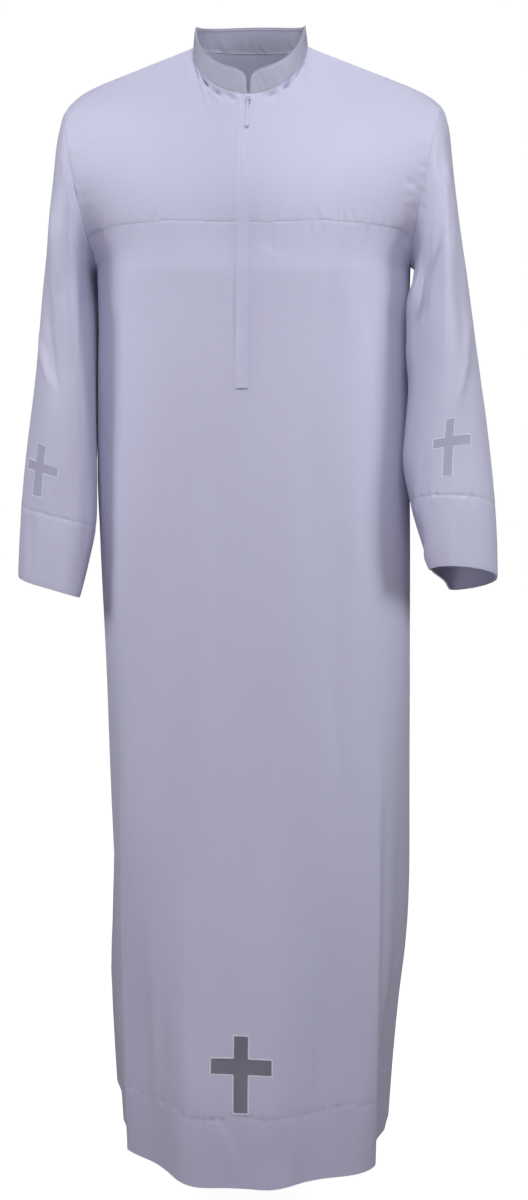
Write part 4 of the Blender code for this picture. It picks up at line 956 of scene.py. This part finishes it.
softSheen = {"Sheen Weight": 0.18, "Sheen Roughness": 0.45, "Specular IOR Level": 0.35}
woven = {"rough": 0.52, "shader": softSheen, "pitch": 0.00045, "weave": 0.25}
sheer = {"rough": 0.5, "broad": 40.0, "fine": 90.0, "rumple": 0.3, "pitch": 0.0006, "weave": 0.4}
sewn = {"broad": 60.0, "fine": 300.0, "rumple": 0.1}
# The collar is the same white polyester as the body. Its colour and its darker mottle are painted darker:
# painted shade on the stand-up collar.
collarPaintedShadeFinish = finish("white polyester painted with collar shade", {
    **woven, "colour": shaded("cloth", 0.78), "shade": shaded("clothShade", 0.66), "broad": 14.0,
    "fine": 40.0, "rumple": 0.3})
clothFinish = finish("ironed white polyester", {
    **woven, "colour": colours["cloth"], "shade": colours["clothShade"], "broad": 3.0, "fine": 24.0,
    "rumple": 0.22})
# The skirt's crosses: the organza is painted near black for the shade inside the skirt seen through it, and
# its paler random streaks are painted light.
sheerPaintedShadeFinish = finish("sheer organza painted with inner shade", {
    **sheer, "colour": colours["organza"], "shade": shaded("organza", 2.1),
    "shader": {**softSheen, "Alpha": 0.92}})
# The sleeves' crosses are the same organza, painted paler: painted light for the light that comes through
# the near sleeve.
sheerPaintedLightFinish = finish("sheer organza painted with light through it", {
    **sheer, "colour": colours["organzaPale"], "shade": shaded("organzaPale", 0.9),
    "shader": {**softSheen, "Alpha": 0.96}})
satinFinish = finish("satin stitch thread", {
    **sewn, "colour": colours["satin"], "shade": shaded("satin", 0.93), "rough": 0.34,
    "shader": {"Sheen Weight": 0.1, "Specular IOR Level": 0.5}})
threadFinish = finish("sewing thread", {
    **sewn, "colour": colours["thread"], "shade": shaded("thread", 0.92), "rough": 0.5,
    "shader": {"Sheen Weight": 0.15}})
tapeFinish = finish("woven zip tape", {
    "colour": colours["tape"], "shade": shaded("tape", 0.9), "rough": 0.7, "shader": softSheen,
    "broad": 20.0, "fine": 600.0, "rumple": 0.5})
enamelFinish = finish("off-white enamel", {
    "colour": colours["enamel"], "shade": shaded("enamel", 0.95), "rough": 0.3,
    "shader": {"Coat Weight": 0.1, "Coat Roughness": 0.25}, "broad": 90.0, "fine": 500.0, "rumple": 0.05})
print("materials are made")

# Shells


def rimPairs(quads):
    starts, ends = quads, np.roll(quads, -1, axis=1)
    pairs = np.stack([starts.ravel(), ends.ravel()], 1)
    big = pairs.max() + 1
    forward = pairs[:, 0] * big + pairs[:, 1]
    alone = ~np.isin(forward, pairs[:, 1] * big + pairs[:, 0])
    return pairs[alone], np.nonzero(alone)[0]


def shell(name, grid, wanted, finishUsed, slotName, node):
    r, c, mask = gridFaces(grid)
    mask = mask & wanted(r, c)
    rr, cc = cornerLists(r[mask], c[mask])
    ids = grid["ids"][rr, cc]
    used, quads = np.unique(ids, return_inverse=True)
    quads = quads.reshape(ids.shape)
    flat = {key: grid[key].reshape(-1, *grid[key].shape[2:])[used] for key in
            ("points", "normals", "push", "outer", "inner")}
    pairs, corners = rimPairs(quads)
    base = flat["points"].copy()
    along = base[pairs[:, 1]] - base[pairs[:, 0]]
    along /= np.maximum(np.linalg.norm(along, axis=1, keepdims=True), 1e-12)
    for end in (0, 1):
        inward = np.cross(flat["normals"][pairs[:, end]], along)
        np.add.at(base, pairs[:, end], inward * cloth["seamInset"] / 2)
    outside = base + flat["normals"] * (flat["push"] + flat["outer"])[:, None]
    inside = base + flat["normals"] * (flat["push"] - flat["inner"])[:, None]
    count = len(base)
    uv = np.stack([grid["u"], -grid["v"]], -1)[rr, cc]
    flatUv = uv.reshape(-1, 2)
    nextCorner = np.where(corners % 4 == 3, corners - 3, corners + 1)
    rim = np.stack([pairs[:, 1], pairs[:, 0], pairs[:, 0] + count, pairs[:, 1] + count], 1)
    rimUv = np.stack([flatUv[nextCorner], flatUv[corners], flatUv[corners], flatUv[nextCorner]], 1)
    faces = np.concatenate([quads, quads[:, ::-1] + count, rim])
    faceUv = np.concatenate([uv, uv[:, ::-1], rimUv]).reshape(-1, 2)
    mesh = bpy.data.meshes.new(name)
    mesh.vertices.add(2 * count)
    mesh.vertices.foreach_set("co", np.concatenate([outside, inside]).astype(np.float32).ravel())
    mesh.loops.add(faces.size)
    mesh.loops.foreach_set("vertex_index", faces.astype(np.int32).ravel())
    mesh.polygons.add(len(faces))
    mesh.polygons.foreach_set("loop_start", (np.arange(len(faces)) * 4).astype(np.int32))
    mesh.update(calc_edges=True)
    mesh.uv_layers.new(name="cut").data.foreach_set("uv", faceUv.astype(np.float32).ravel())
    mesh.validate()
    mesh.shade_smooth()
    mesh.set_sharp_from_angle(angle=math.radians(cloth["sharpAngle"]))
    mesh.materials.append(finishUsed)
    piece = bpy.data.objects.new(name, mesh)
    bpy.context.scene.collection.objects.link(piece)
    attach(piece, "garment")
    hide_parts(node)
    return piece


def crossMask(r, c, rows, stem, arm):
    top, armTop, armFoot, foot = rows
    inStem = (c >= stem[0]) & (c < stem[1])
    inArm = (c >= arm[0]) & (c < arm[1]) & (r >= armTop) & (r < armFoot)
    return (r >= top) & (r < foot) & (inStem | inArm)


def columnsOf(grid, shares, low, high, side):
    # columns between two shares of one half of a body grid
    lowColumn, highColumn = rowOf(shares, low), rowOf(shares, high)
    first = grid["middle"]
    if side > 0:
        return first + lowColumn, first + highColumn
    return first - 1 - highColumn, first - 1 - lowColumn


frontCrossRows = [len(frontLevels[1]) + rowOf(skirtRows, z) for z in skirtCross["rows"]]
backCrossRows = [len(backLevels) + rowOf(skirtRows, z) for z in skirtCross["rows"]]
frontStem = (columnsOf(front, frontShares, 0, skirtCross["frontStem"], -1)[0],
             columnsOf(front, frontShares, 0, skirtCross["frontStem"], 1)[1])
frontArm = (columnsOf(front, frontShares, 0, skirtCross["frontArm"], -1)[0],
            columnsOf(front, frontShares, 0, skirtCross["frontArm"], 1)[1])
# In the back's grid the wearer's left comes first
sideCrosses = {side: [columnsOf(back, backShares, *skirtCross[part], -side)
                      for part in ("sideStem", "sideArm")] for side in (1, -1)}


def isFrontCross(r, c):
    return crossMask(r, c, frontCrossRows, frontStem, frontArm)


def isSideCross(side):
    stem, arm = sideCrosses[side]
    return lambda r, c: crossMask(r, c, backCrossRows, stem, arm)


def sleeveCrossEdges(grid):
    cross = grid["cross"]
    rows = [rowOf(grid["heights"], z) for z in cross["rows"]]
    stem = sorted(rowOf(grid["angles"], 180.0 * level) for level in cross["stem"])
    arm = sorted(rowOf(grid["angles"], 180.0 * level) for level in cross["arm"])
    return rows, stem, arm


sewnCloth = (clothFinish, "cloth")
shell("yokeRight", front, lambda r, c: (r < yokeRow) & (c < front["middle"]),
                            *sewnCloth, "yoke_right")
shell("yokeLeft", front, lambda r, c: (r < yokeRow) & (c >= front["middle"]),
                           *sewnCloth, "yoke_left")
shell("frontPanel", front, lambda r, c: (r >= yokeRow) & ~isFrontCross(r, c),
                             *sewnCloth, "front")
shell("backPanel", back, lambda r, c: ~isSideCross(1)(r, c) & ~isSideCross(-1)(r, c),
                            *sewnCloth, "back")
for side, word in ((1, "Left"), (-1, "Right")):
    edges = sleeveCrossEdges(sleeves[side])
    grid = sleeves[side]
    shell("sleeve" + word, grid, lambda r, c: ~crossMask(r, c, *edges),
                                    *sewnCloth, "sleeve_" + word.lower())
    shell("crossSleeve" + word, grid, lambda r, c: crossMask(r, c, *edges),
                                         sheerPaintedLightFinish, "sheer_inset", "cross_sleeve_" + word.lower())
    shell("crossSide" + word, back, isSideCross(side), sheerPaintedShadeFinish,
                                       "sheer_inset", "cross_side_" + word.lower())
shell("crossFront", front, isFrontCross, sheerPaintedShadeFinish, "sheer_inset", "cross_front")
shell("standCollar", collar, lambda r, c: c >= 0, collarPaintedShadeFinish, "cloth", "collar")
print("cloth pieces are sewn into shape")

# The placket strip lies on the front's creased surface

fly = {"stitched": -0.0105, "free": 0.0055, "drop": 0.019, "past": 0.002, "offset": 0.0019, "half": 0.0007,
       "columns": 9, "rows": 110, "reach": 8, "press": -0.0004, "roll": 0.0005, "rollFrom": 0.6,
       "rollLeast": 0.7, "rollUneven": 0.3, "rollLength": 0.12, "seed": 51}
# The groove of the placket's own stitches: how far from its edge, width, depth
flyGroove = (0.0018, 0.0009, 0.0002)


def flyGrid():
    middle = front["middle"]
    near = [c for c in range(middle - fly["reach"], middle + fly["reach"]) if c != middle - 1]
    surface = front["points"] + front["normals"] * front["push"][..., None]
    run = front["v"][:, middle]
    last = run[rowOf(front["points"][:, middle, 2], skirt["slitEndZ"])] + fly["past"]
    wantedRun = np.linspace(fly["drop"], last, fly["rows"])
    wantedX = np.linspace(fly["stitched"], fly["free"], fly["columns"])
    points = np.zeros((fly["rows"], fly["columns"], 3))
    normals = np.zeros_like(points)
    for source, target in ((surface, points), (front["normals"], normals)):
        for axis in range(3):
            across = np.array([np.interp(wantedX, surface[row, near, 0], source[row, near, axis])
                               for row in range(len(run))])
            for column in range(fly["columns"]):
                target[:, column, axis] = np.interp(wantedRun, run, across[:, column])
    normals /= np.linalg.norm(normals, axis=2, keepdims=True)
    share = np.linspace(0, 1, fly["columns"])[None]
    grid = {"points": points + normals * fly["offset"], "normals": normals,
            "ids": np.arange(fly["rows"] * fly["columns"]).reshape(fly["rows"], fly["columns"])}
    measureGrid(grid)
    rolled = smooth((share - fly["rollFrom"]) / (1 - fly["rollFrom"]))
    uneven = fly["rollLeast"] + fly["rollUneven"] * wander(grid["v"], fly["rollLength"], fly["seed"])
    grid["push"] = (fly["press"] * (1 - share) ** 2 + fly["roll"] * rolled * uneven
                    + groove(grid["u"] - flyGroove[0], *flyGroove[1:]))
    grid["inner"] = np.full(grid["push"].shape, fly["half"])
    grid["outer"] = grid["inner"].copy()
    return grid


placket = flyGrid()
shell("placket", placket, lambda r, c: c >= 0, *sewnCloth, "fly")

# Thread: one node tree lays the stitches of the hem, the cuffs, the placket and the collar, and every
# cross's satin edge, along a path

satinStitch = {"Spacing": 0.00042, "Length": 0.0005, "Uneven": 0.1}
stitchPlans = {
    "plain": {"Spacing": 0.0031, "Length": 0.0024, "Width": 0.00045, "Height": 0.00032, "Uneven": 0.08},
    "satinSkirt": {**satinStitch, "Width": 0.0025, "Height": 0.0007},
    "satinSleeve": {**satinStitch, "Width": 0.0016, "Height": 0.00055},
}


def floatSlots(slots):
    return [slot for slot in slots if slot.type == "VALUE" and slot.enabled]


def threadTree():
    tree = bpy.data.node_groups.new("thread", "GeometryNodeTree")
    socket(tree, "Geometry", "NodeSocketGeometry", "INPUT")
    for name in ("Spacing", "Length", "Width", "Height", "Uneven"):
        socket(tree, name, "NodeSocketFloat", "INPUT", stitchPlans["plain"][name])
    socket(tree, "Seed", "NodeSocketInt", "INPUT", 5)
    socket(tree, "Material", "NodeSocketMaterial", "INPUT")
    socket(tree, "Geometry", "NodeSocketGeometry", "OUTPUT")
    add, link = tree.nodes.new, tree.links.new
    start, end = add("NodeGroupInput"), add("NodeGroupOutput")
    curve, resample = add("GeometryNodeMeshToCurve"), add("GeometryNodeResampleCurve")
    resample.mode = "LENGTH"
    link(start.outputs["Geometry"], curve.inputs[0])
    link(curve.outputs[0], resample.inputs["Curve"])
    link(start.outputs["Spacing"], resample.inputs["Length"])
    bead = add("GeometryNodeMeshIcoSphere")
    bead.inputs["Radius"].default_value = 0.5
    bead.inputs["Subdivisions"].default_value = 1
    up = add("GeometryNodeInputNamedAttribute")
    up.data_type = "FLOAT_VECTOR"
    up.inputs["Name"].default_value = "up"
    turn = add("FunctionNodeAxesToRotation")
    turn.primary_axis, turn.secondary_axis = "Z", "X"
    link(up.outputs["Attribute"], turn.inputs["Primary Axis"])
    link(add("GeometryNodeInputTangent").outputs[0], turn.inputs["Secondary Axis"])
    size, scale = add("ShaderNodeCombineXYZ"), add("ShaderNodeVectorMath")
    chance = add("FunctionNodeRandomValue")
    for name, axis in (("Length", "X"), ("Width", "Y"), ("Height", "Z")):
        link(start.outputs[name], size.inputs[axis])
    chance.data_type = "FLOAT"
    floats = floatSlots(chance.inputs)
    floats[0].default_value = 1.0
    most = add("ShaderNodeMath")
    most.inputs[1].default_value = 1.0
    link(start.outputs["Uneven"], most.inputs[0])
    link(most.outputs[0], floats[1])
    link(start.outputs["Seed"], chance.inputs["Seed"])
    scale.operation = "SCALE"
    link(size.outputs[0], scale.inputs[0])
    link(floatSlots(chance.outputs)[0], scale.inputs["Scale"])
    place, real = add("GeometryNodeInstanceOnPoints"), add("GeometryNodeRealizeInstances")
    smoothed, painted = add("GeometryNodeSetShadeSmooth"), add("GeometryNodeSetMaterial")
    link(resample.outputs[0], place.inputs["Points"])
    link(bead.outputs["Mesh"], place.inputs["Instance"])
    link(turn.outputs[0], place.inputs["Rotation"])
    link(scale.outputs[0], place.inputs["Scale"])
    link(place.outputs[0], smoothed.inputs[0])
    link(smoothed.outputs[0], real.inputs[0])
    link(real.outputs[0], painted.inputs[0])
    link(start.outputs["Material"], painted.inputs["Material"])
    link(painted.outputs[0], end.inputs["Geometry"])
    return tree


thread = threadTree()


def surfaceAt(grid, rows, columns, lift):
    # points and normals of the creased outside at fractional rows and whole columns
    low = np.clip(np.floor(rows).astype(int), 0, len(grid["points"]) - 2)
    share = (rows - low)[:, None]
    outside = grid["points"] + grid["normals"] * (grid["push"] + grid["outer"] + lift)[..., None]
    places = outside[low, columns] * (1 - share) + outside[low + 1, columns] * share
    ups = grid["normals"][low, columns] * (1 - share) + grid["normals"][low + 1, columns] * share
    keep = np.ones(len(places), bool)
    keep[1:] = np.linalg.norm(np.diff(places, axis=0), axis=1) > 1e-6
    return places[keep], ups[keep]


def rowWhere(values, wantedValue):
    # per column, the fractional row where a rising value reaches what is wanted
    rows = np.arange(len(values))
    return np.array([np.interp(want, values[:, c], rows) for c, want in enumerate(wantedValue)])


def stitches(name, paths, plan, finishUsed, seed=5):
    places = np.concatenate([path[0] for path in paths])
    ups = np.concatenate([path[1] for path in paths])
    edges, start = [], 0
    for path in paths:
        edges += [(start + k, start + k + 1) for k in range(len(path[0]) - 1)]
        start += len(path[0])
    mesh = bpy.data.meshes.new(name)
    mesh.from_pydata(places.tolist(), edges, [])
    upward = mesh.attributes.new("up", "FLOAT_VECTOR", "POINT")
    upward.data.foreach_set("vector", ups.astype(np.float32).ravel())
    piece = bpy.data.objects.new(name, mesh)
    bpy.context.scene.collection.objects.link(piece)
    live = piece.modifiers.new("thread", "NODES")
    live.node_group = thread
    names = {item.name: item.identifier for item in thread.interface.items_tree if item.in_out == "INPUT"}
    for key, value in {**stitchPlans[plan], "Seed": seed, "Material": finishUsed}.items():
        live[names[key]] = value
    depsgraph = bpy.context.evaluated_depsgraph_get()
    sewn = bpy.data.meshes.new_from_object(piece.evaluated_get(depsgraph), depsgraph=depsgraph)
    piece.modifiers.clear()
    piece.data = sewn
    bpy.data.meshes.remove(mesh)
    sewn.name = name
    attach(piece, "garment")
    return piece


def crossEdge(grid, rows, stem, arm, lift):
    top, armTop, armFoot, foot = rows
    corners = [(top, stem[0]), (top, stem[1]), (armTop, stem[1]), (armTop, arm[1]), (armFoot, arm[1]),
               (armFoot, stem[1]), (foot, stem[1]), (foot, stem[0]), (armFoot, stem[0]), (armFoot, arm[0]),
               (armTop, arm[0]), (armTop, stem[0]), (top, stem[0])]
    steps = [corners[0]]
    for (rowA, columnA), (rowB, columnB) in zip(corners, corners[1:]):
        count = abs(rowB - rowA) + abs(columnB - columnA)
        steps += [(rowA + (rowB - rowA) * k // count, columnA + (columnB - columnA) * k // count)
                  for k in range(1, count + 1)]
    steps = np.array(steps)
    return surfaceAt(grid, steps[:, 0].astype(float), steps[:, 1], lift)


def everyColumn(grid):
    return np.arange(grid["points"].shape[1])


def lineOn(grid, rows):
    return [surfaceAt(grid, rows, everyColumn(grid), 0.0)]


# The row, counted from the hem, whose run along the cloth gives the stitch line its waves
hemRow = 30
hemPaths = []
for grid in (front, back):
    line = rowWhere(-grid["points"][..., 2], -(skirt["stitchZ"] - hemWobble(grid["u"][-hemRow])))
    hemPaths += lineOn(grid, line)
stitches("hemStitches", hemPaths, "plain", threadFinish)
for side, word in ((1, "Left"), (-1, "Right")):
    grid = sleeves[side]
    stitchRow = grid["stitchRow"]
    line = rowWhere(grid["v"], grid["v"][stitchRow] + cuffWobble(grid["u"][stitchRow], side))
    stitches("cuffStitches" + word, lineOn(grid, line), "plain", threadFinish)
    satinEdge = [crossEdge(grid, *sleeveCrossEdges(grid), 0.0)]
    stitches("satinSleeve" + word, satinEdge, "satinSleeve", satinFinish)
    satinEdge = [crossEdge(back, backCrossRows, *sideCrosses[side], 0.0)]
    stitches("satinSide" + word, satinEdge, "satinSkirt", satinFinish)
satinEdge = [crossEdge(front, frontCrossRows, frontStem, frontArm, 0.0)]
stitches("satinFront", satinEdge, "satinSkirt", satinFinish)
placketRows = np.arange(2.0, fly["rows"] - 1)
placketPath = surfaceAt(placket, placketRows, np.full(len(placketRows), 1), 0.0)
stitches("placketStitches", [placketPath], "plain", threadFinish)
collarLine = rowWhere(collar["v"], np.full(collar["v"].shape[1], collarStitch["z"]))
collarPaths = [surfaceAt(collar, collarLine[part], everyColumn(collar)[part], 0.0)
               for part in (slice(0, collar["middle"]), slice(collar["middle"], None))]
stitches("collarStitches", collarPaths, "plain", threadFinish)
print("stitches are laid")

# The zip's own parts keep their solids

for node, made in (("zip_tape", tapeFinish), ("zip_slider", enamelFinish), ("zip_pull", enamelFinish)):
    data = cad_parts[node].data
    data.materials.clear()
    data.materials.append(made)

# Studio

studio = {
    "lights": (
        ("key", (0.2, -1.2, 1.2), (0.0, 0.0, -0.35), (1.1, 0.8), 21.5, (0.97, 1.0, 1.0)),
        ("rightSide", (-2.2, -0.5, 0.5), (-0.3, 0.0, -0.45), (0.7, 0.7), 2.6, (0.98, 1.0, 1.0)),
        ("leftSide", (2.2, -0.5, 0.5), (0.3, 0.0, -0.45), (0.7, 0.7), 2.6, (0.98, 1.0, 1.0)),
        ("low", (-0.3, -2.8, -1.5), (0.0, 0.0, -1.25), (1.4, 1.0), 26.0, (1.0, 0.98, 1.0)),
    ),
    "sideSpread": 55.0,
    "wall": (9.0, 1.5, 8.0, 14.0), "bendFrom": 0.1, "bendSteps": 14, "floorFrom": -9.0,
    "floorZ": -1.5, "floorColour": (0.55, 0.55, 0.56), "floorGlow": 0.95,
    "worldColour": (1.0, 0.93, 1.0), "worldLight": 0.11,
}


def addLight(name, place, target, size, watts, colour):
    data = bpy.data.lights.new(name, "AREA")
    data.shape = "RECTANGLE"
    data.size, data.size_y = size
    data.energy = watts
    data.color = colour
    data.spread = math.radians(studio["sideSpread"] if "Side" in name else 180.0)
    light = bpy.data.objects.new(name, data)
    light.location = place
    aim = mathutils.Vector(target) - mathutils.Vector(place)
    light.rotation_euler = aim.to_track_quat("-Z", "Y").to_euler()
    bpy.context.scene.collection.objects.link(light)


def addBackdrop():
    wallY, bend, top, half = studio["wall"]
    floorZ = studio["floorZ"]
    profile = [(studio["floorFrom"], floorZ), (wallY - bend, floorZ)]
    profile += [(wallY - bend + bend * math.sin(turn), floorZ + bend - bend * math.cos(turn))
                for turn in np.linspace(studio["bendFrom"], math.pi / 2, studio["bendSteps"])]
    profile.append((wallY, top))
    corners = [(x, y, z) for y, z in profile for x in (-half, half)]
    faces = [(2 * k, 2 * k + 1, 2 * k + 3, 2 * k + 2) for k in range(len(profile) - 1)]
    mesh = bpy.data.meshes.new("backdrop")
    mesh.from_pydata(corners, [], faces)
    mesh.shade_smooth()
    paint = bpy.data.materials.new("pale backdrop")
    paint.use_nodes = True
    shader = paint.node_tree.nodes["Principled BSDF"]
    shader.inputs["Base Color"].default_value = (*studio["floorColour"], 1)
    shader.inputs["Roughness"].default_value = 0.9
    shader.inputs["Emission Color"].default_value = (1, 1, 1, 1)
    seen = paint.node_tree.nodes.new("ShaderNodeLightPath")
    glow = mathNode(paint.node_tree, "MULTIPLY", seen.outputs["Is Camera Ray"], studio["floorGlow"])
    paint.node_tree.links.new(glow, shader.inputs["Emission Strength"])
    mesh.materials.append(paint)
    backdrop = bpy.data.objects.new("backdrop", mesh)
    bpy.context.scene.collection.objects.link(backdrop)


for light in studio["lights"]:
    addLight(*light)
addBackdrop()
world = bpy.data.worlds.new("studio")
world.use_nodes = True
world.node_tree.nodes["Background"].inputs["Color"].default_value = (*studio["worldColour"], 1)
world.node_tree.nodes["Background"].inputs["Strength"].default_value = studio["worldLight"]
bpy.context.scene.world = world
bpy.context.scene.view_settings.view_transform = "Standard"
print("lights and backdrop are up")
